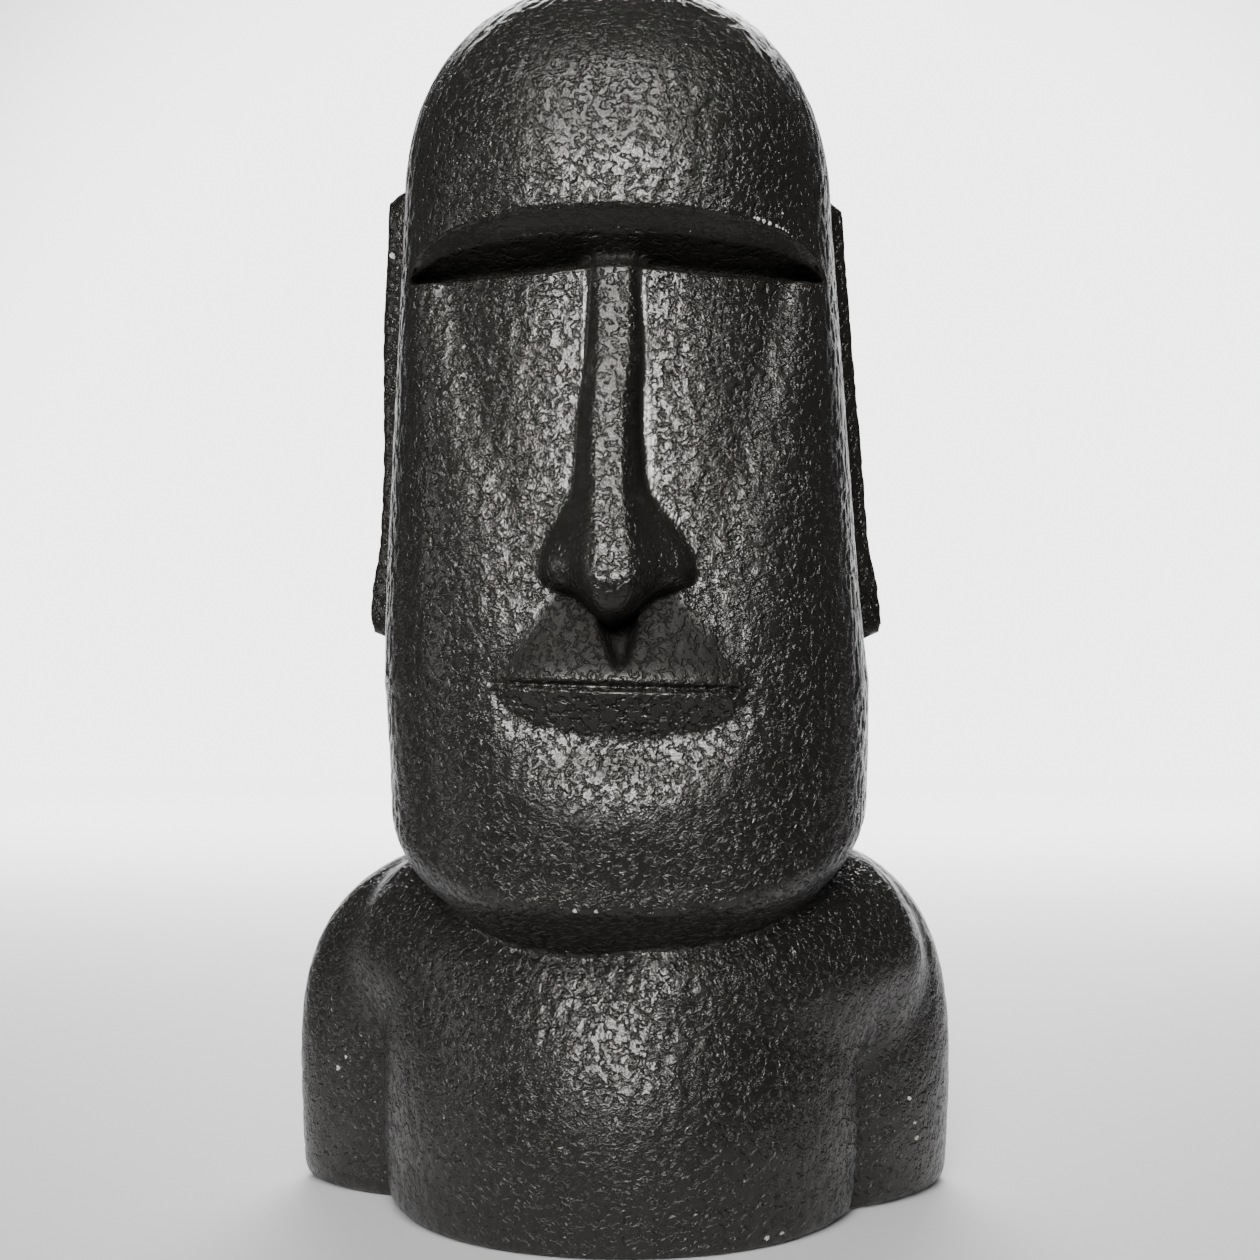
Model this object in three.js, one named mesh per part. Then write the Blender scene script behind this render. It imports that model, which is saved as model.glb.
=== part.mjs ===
// Garden moai: a tall head with long ears on a bust with arms, cast in one piece.
// Millimetres, +Z up. The face looks along -Y and the flat foot stands on z = 0.
//
// The skin is one closed surface over two parameters: the angle around the upright
// axis and the climb from the rim of the foot to the crown. Each horizontal section
// is the union of three outlines (head, chest, shoulders with arms). The face and
// the ears are reliefs added to that skin, along -Y and along +X / -X.

import * as THREE from 'three';

// ---------------------------------------------------------------- driving sizes

const CROWN_Z = 700;             // height of the whole figure
const DOME_Z = 562;              // above this the skull closes to the crown
const DOME_POWER = 2.15;         // squareness of the skull seen from the front
const DOME_FRONT = 0.55;         // in front it closes faster, by this at the crown

const JAW_HALF_WIDTH = 137.5;     // head seen from the front, at the jaw
const TEMPLE_HALF_WIDTH = 121.5; // and at the temples, where the skull begins
const JAW_Z = 300;
const JAW_TAPER = 3.5;           // the head narrows by this again down to its lower edge
const CHIN_FRONT = 145;          // axis to the front of the chin
const BROW_FRONT = 141;          // axis to the front of the brow
const NAPE_BACK = 118;           // axis to the back of the head, low
const SKULL_BACK = 112;          // and high
const HEAD_POWER = 2.7;          // squareness of the head seen from above
const HEAD_LEAN = 5;             // the crown stands this far off centre, to -X
const LEAN_Z = 290;              // and begins to lean here
const JAW_SHIFT = 3;             // the jaw stands off centre too, to +X
const JAW_SHIFT_Z = 240;
const JAW_SHIFT_REACH = 130;

const CHIN_Z = 181;              // lowest edge of the chin
const JAW_EDGE_Z = 207;          // lowest edge of the jaw, at the sides and the back
const CHIN_ROUND = 4;            // softness of that edge, in front
const JAW_ROUND = 26;            // and at the sides
const UNDERCHIN_SLOPE = 1.4;     // inward run of the underside for each mm down

const CHEST_HALF_WIDTH = 139;    // oval of the chest, from above
const CHEST_FRONT = 138;
const CHEST_BACK = 112;
const CHEST_Z = 50;              // height of the deepest chest
const CHEST_RISE = 158;          // its depth closes this far above that
const COLLAR_Z = 110;            // its width begins to close here
const COLLAR_RISE = 112;         // and closes this far above that
const COLLAR_POWER = 3;
const FOOT_TAPER = 5;            // the chest is this much narrower at the floor

const ARMS_HALF_WIDTH = [197, 193]; // oval of the shoulders and arms: towards -X, towards +X
const ARMS_CENTRE_Y = 50;
const ARMS_FRONT = [82, 118];    // half depth of that oval before its centre, on either side
const ARMS_BACK = 76;            // and behind it
const ARMS_Z = 60;
const ARMS_RISE = [153, 158];    // height over which they close, on either side
const ARMS_POWER = 3;            // squareness of the shoulder line
const ARMS_TAPER = 4;            // the arms are this much narrower at the floor
const ARMS_TAPER_Z = 90;
const GROOVE_DEPTH = 5;          // groove between chest and arm
const GROOVE_REACH = 7;
const GROOVE_FADE_Z = [70, 150]; // the groove runs out between these heights
const GROOVE_BLEND = 3;          // softness between chest and arm at the groove
const SHOULDER_BLEND = 110;      // and above it
const SHOULDER_BLEND_SINE = [0.3, -0.2]; // sine of the angle over which that begins
const GROOVE_SINE = 0.2;         // there is no groove behind this
const NECK_BLEND = 4;            // softness between head and shoulders
const FOOT_ROUND = 3;            // edge of the foot, at the chest
const ARM_FOOT_ROUND = 11;       // and at the arms

const FACE_HALF_WIDTH = 115;     // outer ends of the brow
const FACE_EDGE = 8;
const BROW_END_Z = 511;
const BROW_ARCH = 36;            // rise of the brow edge at the middle
const BROW_POWER = 2.4;
const BROW_SOFTNESS = 1.5;
const BROW_CHAMFER = 9.5;        // depth of the sloping edge under the brow
const BROW_CHAMFER_SHARE = 0.4;  // its share of the height from the brow to the ledge
const BROW_CEILING = 36;         // further depth of the ceiling behind it
const BROW_CEILING_POWER = 1.2;
const CHEEK_RECESS = 23;         // cheeks behind the brow, just under the sockets
const CHEEK_FADE_Z = 240;        // the cheeks reach the front of the head here
const CHEEK_EDGE = [80, 30];     // width over which they turn into the sides, low and high
const CHEEK_EDGE_Z = 330;
const LEDGE_Z = 514;             // top edge of the cheeks, floor of the sockets
const LEDGE_LIFT = 4;            // this much higher beside the nose
const LEDGE_LIFT_REACH = 60;
const LEDGE_EDGE = 4;            // height of the slope from the cheeks into the sockets

const RIDGE_TOP_Z = 524;
const RIDGE_TOP_FRONT = 119;     // axis to the ridge of the nose, at its top
const RIDGE_TOP_ROUND = 9;
const RIDGE_FALL = 1.5;          // the ridge falls back this much for each mm above its top
const NOSE_FRONT = 172;          // axis to the ridge at its furthest
const NOSE_FRONT_Z = 354;
const RIDGE_HALF_WIDTH = [8.5, 8];  // flat of the ridge, at the top and low down
const WALL_HALF_WIDTH = [18.5, 27]; // foot of the side walls, at the top and low down
const WALL_ROUND = 0.6;
const WING_HALF_WIDTH = 43;      // wings of the nose
const WING_TOP_Z = 405;
const WING_Z = 358;
const WING_FALL = 0.4;           // share of the nose's height lost from the ridge to the wings
const WING_FALL_END = 0.6;       // and the share of its width over which that happens
const WING_POWER = 6;
const NOSE_BURIED = 8;           // the foot of the walls lies this far inside the cheeks
const NOSE_FALL = 4;
const NOSE_TIP_Z = 328;          // lowest point of the nose
const TIP_HALF_WIDTH = 24;
const WING_LIFT = [14, 8];       // rise of the lower edge beside the tip, and out to the wings
const NOSE_UNDER_HEIGHT = [26, 15]; // height over which the nose turns under: tip and wings
const NOSE_UNDER_POWER = 2.4;
const NOSE_FILLET = [2, 10];     // along the nose, and where it runs into the brow
const ROOT_HEIGHT = 18;
const RIDGE_SHIFT = 3.5;         // the lower ridge stands off centre, to -X
const RIDGE_SHIFT_Z = [480, 430];
const RIDGE_SHIFT_REACH = 30;    // the wings keep to the middle from this far out

const MOUTH_Z = 297.5;
const MOUTH_HALF_WIDTH = 67;
const MOUTH_TILT = 0.027;        // the mouth falls this much for each mm to +X
const LIP_SWELL = 13;            // lips before the face
const LIP_ROUND = 1.15;
const UPPER_LIP_TOP_Z = 346;
const UPPER_LIP_TOP_HALF_WIDTH = 34;
const UPPER_LIP_TOP_SHARE = -0.2; // under the nose the lip lies behind the cheeks
const UPPER_LIP_END = 1.4;       // the tent ends this many lip heights above the mouth
const LOWER_LIP_HEIGHT = 26;
const LIP_CREASE = 4;            // crease under the lower lip
const CREASE_FADE = 26;
const SLIT_DEPTH = 7;
const SLIT_HALF_HEIGHT = 3;
const HOLLOW_DEPTH = 22;         // pointed hollow between nose and lip
const HOLLOW_BOTTOM_Z = 307;
const HOLLOW_TOP_Z = 344;        // hidden inside the nose
const HOLLOW_END = [5, 8];       // height over which it runs out, at the bottom and at the top
const HOLLOW_HALF_WIDTH = [2.5, 10.5];
const HOLLOW_POWER = 0.8;
const CHIN_SWELL = 4;
const CHIN_SWELL_Z = 228;
const CHIN_SWELL_REACH = [90, 42];

const EAR_TOP_Z = [590, 583];    // towards -X and towards +X
const EAR_BOTTOM_Z = 322;
const EAR_CENTRE_Y = 24;
const EAR_HALF_WIDTH = 19;
const EAR_CORNER = 9;
const EAR_BEGIN_X = [36, 96];    // nearer the middle than this there is no ear
const EAR_SWELL = 10.5;          // ears before the side of the head
const EAR_TOP_SWELL = [4.5, -1]; // added towards the top, on either side
const EAR_TOP_SWELL_Z = [410, 520];
const LOBE_SWELL = 3.5;          // further swell of the lobe
const LOBE_SPREAD = 3;
const LOBE_Z = 342;
const LOBE_REACH = 42;
const EAR_EDGE = 5;
const EAR_TOP_SOFTNESS = 0.6;    // the top edge rises over a longer way, by 1 / this
const EAR_CHANNEL = 4;           // long channel down the ear
const EAR_CHANNEL_HALF_WIDTH = 7;
const EAR_CHANNEL_END = [10, 22]; // it stops this far from the lobe and from the top
const EAR_CHANNEL_FADE = 12;

const CARVING_Z = [187, 203];    // the face begins between these heights
const CARVING_END = 12;          // and ends over this much, at the foot of the skull
const FACE_REACH = 75;           // columns of facets follow the nose out to here
const SKULL_ROWS = 7;
const COLOUR = 0x2d2c2a;

// ---------------------------------------------------------------- small functions

const QUARTER_TURN = Math.PI / 2;
const clamp01 = (t) => Math.min(1, Math.max(0, t));
const mix = (a, b, t) => a + (b - a) * t;
const ramp = (value, from, to) => clamp01((value - from) / (to - from));

function ease(t) {
  const c = clamp01(t);
  return c * c * (3 - 2 * c);
}

// The larger of two values, rounded over where they are within k of each other.
function smoothMax(a, b, k) {
  const overlap = Math.max(k - Math.abs(a - b), 0);
  return Math.max(a, b) + (overlap * overlap) / (4 * k);
}

const smoothMin = (a, b, k) => -smoothMax(-a, -b, k);

// Zero below -k, the value itself above k, and a parabola between.
function softStart(value, k) {
  if (value <= -k) return 0;
  if (value >= k) return value;
  return ((value + k) ** 2) / (4 * k);
}

// Height of the unit superellipse at t from its centre.
const superArc = (t, power) => (1 - Math.min(1, Math.abs(t)) ** power) ** (1 / power);

// Distance from the axis to a superellipse, at an angle.
function superRadius(angle, halfWidth, depth, power) {
  const across = Math.abs(Math.cos(angle) / halfWidth) ** power;
  const along = Math.abs(Math.sin(angle) / depth) ** power;
  return (across + along) ** (-1 / power);
}

// The first value on the -X side, the second on the +X side.
const bySide = (angle, [left, right]) => mix(left, right, ease(0.5 + 3 * Math.cos(angle)));

// ---------------------------------------------------------------- horizontal sections

// Height and softness of the lower edge of the head: low in front, higher round the jaw.
function chinEdge(angle) {
  const side = Math.sin(angle) < 0 ? Math.cos(angle) ** 2 : 1;
  return { edgeZ: mix(CHIN_Z, JAW_EDGE_Z, side), soft: mix(CHIN_ROUND, JAW_ROUND, side) };
}

function headRadius(angle, z, closing) {
  const rise = ramp(z, JAW_Z, DOME_Z);
  const taper = JAW_TAPER * ramp(z, JAW_Z, JAW_EDGE_Z);
  const halfWidth = mix(JAW_HALF_WIDTH, TEMPLE_HALF_WIDTH, rise) - taper;
  const front = mix(CHIN_FRONT, BROW_FRONT, rise);
  const back = mix(NAPE_BACK, SKULL_BACK, rise);
  const depth = Math.sin(angle) < 0 ? front * mix(DOME_FRONT, 1, closing) : back;
  const block = closing * superRadius(angle, halfWidth, depth, HEAD_POWER);
  const { edgeZ, soft } = chinEdge(angle);
  return block - UNDERCHIN_SLOPE * softStart(edgeZ - z, soft);
}

function chestRadius(angle, z) {
  const depth = Math.sin(angle) < 0 ? CHEST_FRONT : CHEST_BACK;
  const shallower = superArc(Math.max(0, z - CHEST_Z) / CHEST_RISE, 2);
  const narrower = superArc(Math.max(0, z - COLLAR_Z) / COLLAR_RISE, COLLAR_POWER);
  if (shallower === 0) return 0;
  const plan = superRadius(angle, CHEST_HALF_WIDTH * narrower, depth * shallower, 2);
  return plan - FOOT_TAPER * (Math.max(0, CHEST_Z - z) / CHEST_Z) ** 2;
}

// Distance from the axis to an oval of the arms, whose centre lies behind the axis.
function ovalReach(angle, depth) {
  const c = Math.cos(angle) / bySide(angle, ARMS_HALF_WIDTH);
  const s = Math.sin(angle) / depth;
  const shift = ARMS_CENTRE_Y / depth;
  const square = c * c + s * s;
  return (s * shift + Math.sqrt((s * shift) ** 2 - square * (shift ** 2 - 1))) / square;
}

function armsRadius(angle, z) {
  const front = ovalReach(angle, bySide(angle, ARMS_FRONT));
  const before = front * Math.sin(angle) < ARMS_CENTRE_Y;
  const plan = before ? front : ovalReach(angle, ARMS_BACK);
  const tapered = plan - ARMS_TAPER * (Math.max(0, ARMS_TAPER_Z - z) / ARMS_TAPER_Z) ** 2;
  return tapered * superArc(Math.max(0, z - ARMS_Z) / bySide(angle, ARMS_RISE), ARMS_POWER);
}

const footRound = (angle) => mix(FOOT_ROUND, ARM_FOOT_ROUND, Math.abs(Math.cos(angle)) ** 4);

// Chest and arms joined, softly at the shoulders in front, with a groove lower down.
function torsoRadius(angle, z) {
  const chest = chestRadius(angle, z);
  const arms = armsRadius(angle, z);
  const fade = ease(ramp(z, ...GROOVE_FADE_Z));
  const inFront = ease(ramp(Math.sin(angle), ...SHOULDER_BLEND_SINE));
  const joined = smoothMax(chest, arms, mix(GROOVE_BLEND, SHOULDER_BLEND, fade * inFront));
  const groove = GROOVE_DEPTH * (1 - fade) * Math.exp(-(((chest - arms) / GROOVE_REACH) ** 2));
  const round = footRound(angle);
  const turn = z < round ? round * (1 - Math.sqrt(1 - (1 - z / round) ** 2)) : 0;
  return joined - (Math.sin(angle) < GROOVE_SINE ? groove : 0) - turn;
}

// ---------------------------------------------------------------- face

const browZ = (x) => BROW_END_Z + BROW_ARCH * superArc(x / FACE_HALF_WIDTH, BROW_POWER);
const ledgeZ = (x) => LEDGE_Z + LEDGE_LIFT * ease(1 - Math.abs(x) / LEDGE_LIFT_REACH);
const mouthZ = (x) => MOUTH_Z - MOUTH_TILT * x;

// Cheeks behind the brow: most under the sockets, not at all at the chin and the sides.
function cheekRecess(x, z) {
  const edge = mix(...CHEEK_EDGE, ramp(z, CHEEK_EDGE_Z, LEDGE_Z));
  const within = ease((FACE_HALF_WIDTH - Math.abs(x)) / edge);
  return CHEEK_RECESS * ramp(z, CHEEK_FADE_Z, LEDGE_Z) * within;
}

// Cove under the brow: a chamfer at its edge, then a steeper ceiling over the ledge.
function browHollow(x, z) {
  const height = Math.max(browZ(x) - ledgeZ(x), 1);
  const down = clamp01(softStart(browZ(x) - z, BROW_SOFTNESS) / height);
  const chamfer = Math.min(down / BROW_CHAMFER_SHARE, 1);
  const ceiling = Math.max(down - BROW_CHAMFER_SHARE, 0) / (1 - BROW_CHAMFER_SHARE);
  const within = ease((FACE_HALF_WIDTH - Math.abs(x)) / FACE_EDGE);
  return (BROW_CHAMFER * chamfer + BROW_CEILING * ceiling ** BROW_CEILING_POWER) * within;
}

// A tent from the wings of the nose to the corners of the mouth, highest at the mouth.
function upperLip(x, z) {
  const up = (z - mouthZ(x)) / (UPPER_LIP_TOP_Z - MOUTH_Z);
  if (up > UPPER_LIP_END) return 0;
  const halfWidth = mix(MOUTH_HALF_WIDTH, UPPER_LIP_TOP_HALF_WIDTH, up);
  const across = superArc(x / halfWidth, 2) ** LIP_ROUND;
  return LIP_SWELL * mix(1, UPPER_LIP_TOP_SHARE, clamp01(up)) * across;
}

// A crescent that falls back from the mouth to a crease, and a chin that rises from it.
function lowerLip(x, z) {
  const across = superArc(x / MOUTH_HALF_WIDTH, 2);
  if (across === 0) return 0;
  const below = mouthZ(x) - z;
  const height = LOWER_LIP_HEIGHT * across;
  const crease = -LIP_CREASE * across;
  const lip = mix(LIP_SWELL * across ** LIP_ROUND, crease, Math.min(below / height, 1));
  const chin = crease * (1 - ease((below - height) / CREASE_FADE));
  return below < height ? lip : chin;
}

function mouthSlit(x, z) {
  const across = Math.sqrt(superArc(x / MOUTH_HALF_WIDTH, 2));
  return SLIT_DEPTH * clamp01(1 - Math.abs(z - mouthZ(x)) / SLIT_HALF_HEIGHT) * across;
}

function lipHollow(x, z) {
  const up = ramp(z, HOLLOW_BOTTOM_Z, NOSE_TIP_Z);
  const across = clamp01(1 - Math.abs(x) / mix(...HOLLOW_HALF_WIDTH, up ** HOLLOW_POWER));
  const [bottom, top] = HOLLOW_END;
  const ends = ease((HOLLOW_TOP_Z - z) / top) * ease((z - HOLLOW_BOTTOM_Z) / bottom);
  return HOLLOW_DEPTH * across ** HOLLOW_POWER * ends;
}

// Lower edge of the nose: a round tip, then a slower rise under the wings.
function noseUnderZ(fromRidge) {
  const out = Math.min(1, fromRidge / WING_HALF_WIDTH);
  return NOSE_TIP_Z + WING_LIFT[0] * ease(fromRidge / TIP_HALF_WIDTH) + WING_LIFT[1] * out ** 2;
}

// Half widths of the ridge and of the foot of the walls at a height, and the ridge's shift.
function noseLines(z) {
  const low = ramp(z, RIDGE_TOP_Z, NOSE_FRONT_Z);
  const winged = ease(ramp(z, WING_TOP_Z, WING_Z));
  const inner = mix(...RIDGE_HALF_WIDTH, low);
  const outer = mix(mix(...WALL_HALF_WIDTH, low ** 2), WING_HALF_WIDTH, winged);
  return { low, winged, inner, outer, shift: RIDGE_SHIFT * ease(ramp(z, ...RIDGE_SHIFT_Z)) };
}

// Front of the nose, as a distance from the axis, over a face that lies at `face`.
function noseFront(x, z, face) {
  const buried = face - NOSE_BURIED;
  const { low, winged, inner, outer, shift } = noseLines(z);
  const kept = 1 - winged * Math.min(1, Math.abs(x) / RIDGE_SHIFT_REACH);
  const fromRidge = Math.abs(x + shift * kept);
  const ridge = mix(RIDGE_TOP_FRONT, NOSE_FRONT, low);
  const out = clamp01((fromRidge - inner) / (outer - inner));
  const wall = mix(out, ease(out), WALL_ROUND);
  const wing = mix(out ** WING_POWER, ease(out / WING_FALL_END), WING_FALL);
  const whole = mix(ridge, buried, mix(wall, wing, winged));
  const underZ = noseUnderZ(fromRidge);
  const underHeight = mix(...NOSE_UNDER_HEIGHT, Math.min(1, fromRidge / WING_HALF_WIDTH));
  const under = superArc(1 - clamp01((z - underZ) / underHeight), NOSE_UNDER_POWER);
  const beside = NOSE_FALL * Math.max(fromRidge - outer, 0);
  const above = RIDGE_FALL * softStart(z - RIDGE_TOP_Z, RIDGE_TOP_ROUND);
  return mix(buried, whole, under) - beside - above;
}

// How far the carved face stands before the plain front of the head, which lies at `block`.
function faceRelief(x, z, block) {
  const [chinX, chinZ] = CHIN_SWELL_REACH;
  const chin = CHIN_SWELL * ease(1 - Math.hypot(x / chinX, (z - CHIN_SWELL_Z) / chinZ));
  const cheeks = block - cheekRecess(x, z) + chin;
  const flat = mix(cheeks, block - browHollow(x, z), ease((z - ledgeZ(x)) / LEDGE_EDGE));
  const lips = z > mouthZ(x) ? upperLip(x, z) : lowerLip(x, z);
  const carved = flat + lips - mouthSlit(x, z) - lipHollow(x, z);
  const fillet = mix(...NOSE_FILLET, ease(ramp(z, RIDGE_TOP_Z - ROOT_HEIGHT, RIDGE_TOP_Z)));
  return smoothMax(carved, noseFront(x, z, cheeks), fillet) - block;
}

// ---------------------------------------------------------------- ears

// Share of the lobe's swell at a height, and the half width of the ear there.
function earLines(z) {
  const lobe = ease(1 - Math.abs(z - LOBE_Z) / LOBE_REACH);
  return { lobe, halfWidth: EAR_HALF_WIDTH + LOBE_SPREAD * lobe };
}

// Long slab beside the head with a channel along it and a lobe that swells at its foot.
function earRelief(angle, y, z) {
  const { lobe, halfWidth } = earLines(z);
  const topZ = bySide(angle, EAR_TOP_Z);
  const upright = Math.min((topZ - z) * EAR_TOP_SOFTNESS, z - EAR_BOTTOM_Z);
  const inside = smoothMin(upright, halfWidth - Math.abs(y - EAR_CENTRE_Y), EAR_CORNER);
  const [fromLobe, fromTop] = EAR_CHANNEL_END;
  const ends = ease(Math.min(topZ - fromTop - z, z - LOBE_Z - fromLobe) / EAR_CHANNEL_FADE);
  const channel = ease(1 - Math.abs(y - EAR_CENTRE_Y) / EAR_CHANNEL_HALF_WIDTH) * ends;
  const high = ease(ramp(z, ...EAR_TOP_SWELL_Z));
  const swell = EAR_SWELL + LOBE_SWELL * lobe + bySide(angle, EAR_TOP_SWELL) * high;
  return swell * ease(inside / EAR_EDGE) - EAR_CHANNEL * channel;
}

// ---------------------------------------------------------------- the skin

// A level is a height, and how far the skull has closed there (1 is not at all).
const below = (z) => ({ z, closing: 1 });
const onSkull = (turn) => ({
  z: DOME_Z + (CROWN_Z - DOME_Z) * Math.sin(turn) ** (2 / DOME_POWER),
  closing: Math.cos(turn) ** (2 / DOME_POWER),
});

// How far the figure stands off its own axis at a height, to -X.
function leanAt(z) {
  const jaw = JAW_SHIFT * ease(1 - Math.abs(z - JAW_SHIFT_Z) / JAW_SHIFT_REACH);
  return HEAD_LEAN * ramp(z, LEAN_Z, CROWN_Z) - jaw;
}

function skin(angle, { z, closing }) {
  const head = headRadius(angle, z, closing);
  const radius = closing < 1 ? head : smoothMax(head, torsoRadius(angle, z), NECK_BLEND);
  const x = radius * Math.cos(angle);
  const y = radius * Math.sin(angle);
  const carved = ramp(z, ...CARVING_Z) * ramp(z, DOME_Z, DOME_Z - CARVING_END);
  const face = y < 0 ? carved * faceRelief(x, z, -y) : 0;
  const ear = Math.sign(x) * earRelief(angle, y, z) * ease(ramp(Math.abs(x), ...EAR_BEGIN_X));
  return new THREE.Vector3(x + ear - leanAt(z), y - face, z);
}

// Angle around the axis of a point on the head, given its x on the front or y on a side.
function frontAngle(x, z) {
  const rise = ramp(z, JAW_Z, DOME_Z);
  const halfWidth = mix(JAW_HALF_WIDTH, TEMPLE_HALF_WIDTH, rise);
  return Math.atan2(-mix(CHIN_FRONT, BROW_FRONT, rise) * superArc(x / halfWidth, HEAD_POWER), x);
}

function sideAngle(y, z) {
  return Math.atan2(y, mix(JAW_HALF_WIDTH, TEMPLE_HALF_WIDTH, ramp(z, JAW_Z, DOME_Z)));
}

// Angle of the groove between chest and arm, on the side (+1 or -1), found by halving.
function grooveAngle(side) {
  let inner = -QUARTER_TURN;
  let outer = 0;
  for (let step = 0; step < 20; step += 1) {
    const middle = (inner + outer) / 2;
    const angle = side > 0 ? middle : -2 * QUARTER_TURN - middle;
    if (chestRadius(angle, CHEST_Z) > armsRadius(angle, CHEST_Z)) inner = middle;
    else outer = middle;
  }
  return inner;
}
const GROOVE_ANGLE = { left: grooveAngle(-1), right: grooveAngle(1) };

// Lines that the columns of facets follow on one side (+1 or -1), as angles at a height
// from the ridge of the nose round to the middle of the back, and the columns up to each.
function columnLines(side, z) {
  const { inner, outer, shift, winged } = noseLines(z);
  const besideNose = (w) => w - side * shift * (1 - winged * Math.min(1, w / RIDGE_SHIFT_REACH));
  const { halfWidth } = earLines(z);
  const ear = (fromCentre) => sideAngle(EAR_CENTRE_Y + fromCentre, z);
  return [
    [frontAngle(besideNose(0), z), 0], [frontAngle(besideNose(inner), z), 2],
    [frontAngle(besideNose(outer), z), 4], [frontAngle(FACE_REACH, z), 5],
    [side > 0 ? GROOVE_ANGLE.right : GROOVE_ANGLE.left, 5], [ear(-halfWidth), 8],
    [ear(EAR_EDGE - halfWidth), 1], [ear(-EAR_CHANNEL_HALF_WIDTH), 1], [ear(0), 1],
    [ear(EAR_CHANNEL_HALF_WIDTH), 1], [ear(halfWidth - EAR_EDGE), 1], [ear(halfWidth), 1],
    [QUARTER_TURN, 14],
  ];
}

// The points of a run of lines, each split into its own number of even steps.
function splitLines(lines) {
  const steps = lines.slice(1).flatMap(([end, count], line) => Array.from(
    { length: count }, (_, step) => mix(lines[line][0], end, (step + 1) / count)));
  return [lines[0][0], ...steps];
}

// Angles of all the columns at a height, from the ridge of the nose round to it again.
function anglesAt(z) {
  const right = splitLines(columnLines(1, z));
  const left = splitLines(columnLines(-1, z)).map((angle) => 2 * QUARTER_TURN - angle);
  return [...right, ...left.slice(1, -1).reverse()];
}
const COLUMNS = anglesAt(0).length;

// Height where the underside of the head meets the torso, found by halving.
function creaseZ(column) {
  let low = CHEST_Z;
  let high = JAW_EDGE_Z + JAW_ROUND;
  for (let step = 0; step < 20; step += 1) {
    const middle = (low + high) / 2;
    const angle = anglesAt(middle)[column];
    if (headRadius(angle, middle, 1) < torsoRadius(angle, middle)) low = middle;
    else high = middle;
  }
  return low;
}

// Heights that the rows of facets follow up one column, and the rows up to each.
function rowLines(column) {
  const xAt = (z) => {
    const angle = anglesAt(z)[column];
    return headRadius(angle, z, 1) * (Math.sin(angle) < 0 ? Math.cos(angle) : 1);
  };
  const crease = creaseZ(column);
  const { edgeZ, soft } = chinEdge(anglesAt(CHIN_Z)[column]);
  const mouth = Math.abs(xAt(MOUTH_Z)) < FACE_REACH ? mouthZ(xAt(MOUTH_Z)) : MOUTH_Z;
  const under = noseUnderZ(Math.abs(xAt(NOSE_TIP_Z)));
  const brow = browZ(xAt(LEDGE_Z));
  const ledge = Math.min(ledgeZ(xAt(LEDGE_Z)), brow - 8);
  return [
    [0, 0], [footRound(anglesAt(0)[column]), 2], [CHEST_Z, 2], [COLLAR_Z, 3], [crease, 4],
    [Math.max(edgeZ - soft, crease + 3), 1], [edgeZ + soft, 2],
    [MOUTH_Z - LOWER_LIP_HEIGHT, 3], [mouth - SLIT_HALF_HEIGHT, 3], [mouth, 1],
    [mouth + SLIT_HALF_HEIGHT, 1], [under - 1, 2], [under + 8, 2],
    [under + NOSE_UNDER_HEIGHT[0], 3], [WING_TOP_Z, 2], [ledge, 6],
    [Math.min(ledge + LEDGE_EDGE, brow - 5), 1], [mix(brow, ledge, BROW_CHAMFER_SHARE), 2],
    [brow + BROW_SOFTNESS, 1], [brow + 8, 1], [DOME_Z, 1],
  ];
}

// The points of one column, from the floor to just short of the crown.
function columnPoints(_, column) {
  const turns = Array.from(
    { length: SKULL_ROWS - 1 }, (__, row) => (QUARTER_TURN * (row + 1)) / SKULL_ROWS);
  const levels = [...splitLines(rowLines(column)).map(below), ...turns.map(onSkull)];
  return levels.map((level) => skin(anglesAt(level.z)[column], level));
}

function skinGeometry() {
  const columns = Array.from({ length: COLUMNS }, columnPoints);
  const rows = columns[0].length;
  const positions = [0, 0, 0];
  for (let row = 0; row < rows; row += 1) {
    columns.forEach((column) => positions.push(...column[row].toArray()));
  }
  positions.push(-HEAD_LEAN, 0, CROWN_Z);

  const at = (row, column) => 1 + row * COLUMNS + (column % COLUMNS);
  const crown = 1 + rows * COLUMNS;
  const faces = [];
  for (let column = 0; column < COLUMNS; column += 1) {
    faces.push(0, at(0, column + 1), at(0, column));
    faces.push(at(rows - 1, column), at(rows - 1, column + 1), crown);
    for (let row = 0; row < rows - 1; row += 1) {
      faces.push(at(row, column), at(row, column + 1), at(row + 1, column + 1));
      faces.push(at(row, column), at(row + 1, column + 1), at(row + 1, column));
    }
  }
  const geometry = new THREE.BufferGeometry();
  geometry.setAttribute('position', new THREE.Float32BufferAttribute(positions, 3));
  geometry.setIndex(faces);
  return standOnMiddle(geometry);
}

// The origin is under the middle of the figure's box, on the floor.
function standOnMiddle(geometry) {
  geometry.computeBoundingBox();
  const middle = geometry.boundingBox.getCenter(new THREE.Vector3());
  geometry.translate(-middle.x, -middle.y, 0);
  geometry.computeVertexNormals();
  return geometry;
}

// ---------------------------------------------------------------- the figure

const paintedCast = new THREE.MeshStandardMaterial({
  color: COLOUR,
  roughness: 0.45,
  metalness: 0,
});
const moai = new THREE.Mesh(skinGeometry(), paintedCast);
moai.name = 'moai_bust';

const group = new THREE.Group();
group.add(moai);

export default group;
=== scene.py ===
"""Garden moai: a tall head with long ears on a bust with arms, cast in one piece and painted black."""

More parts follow.
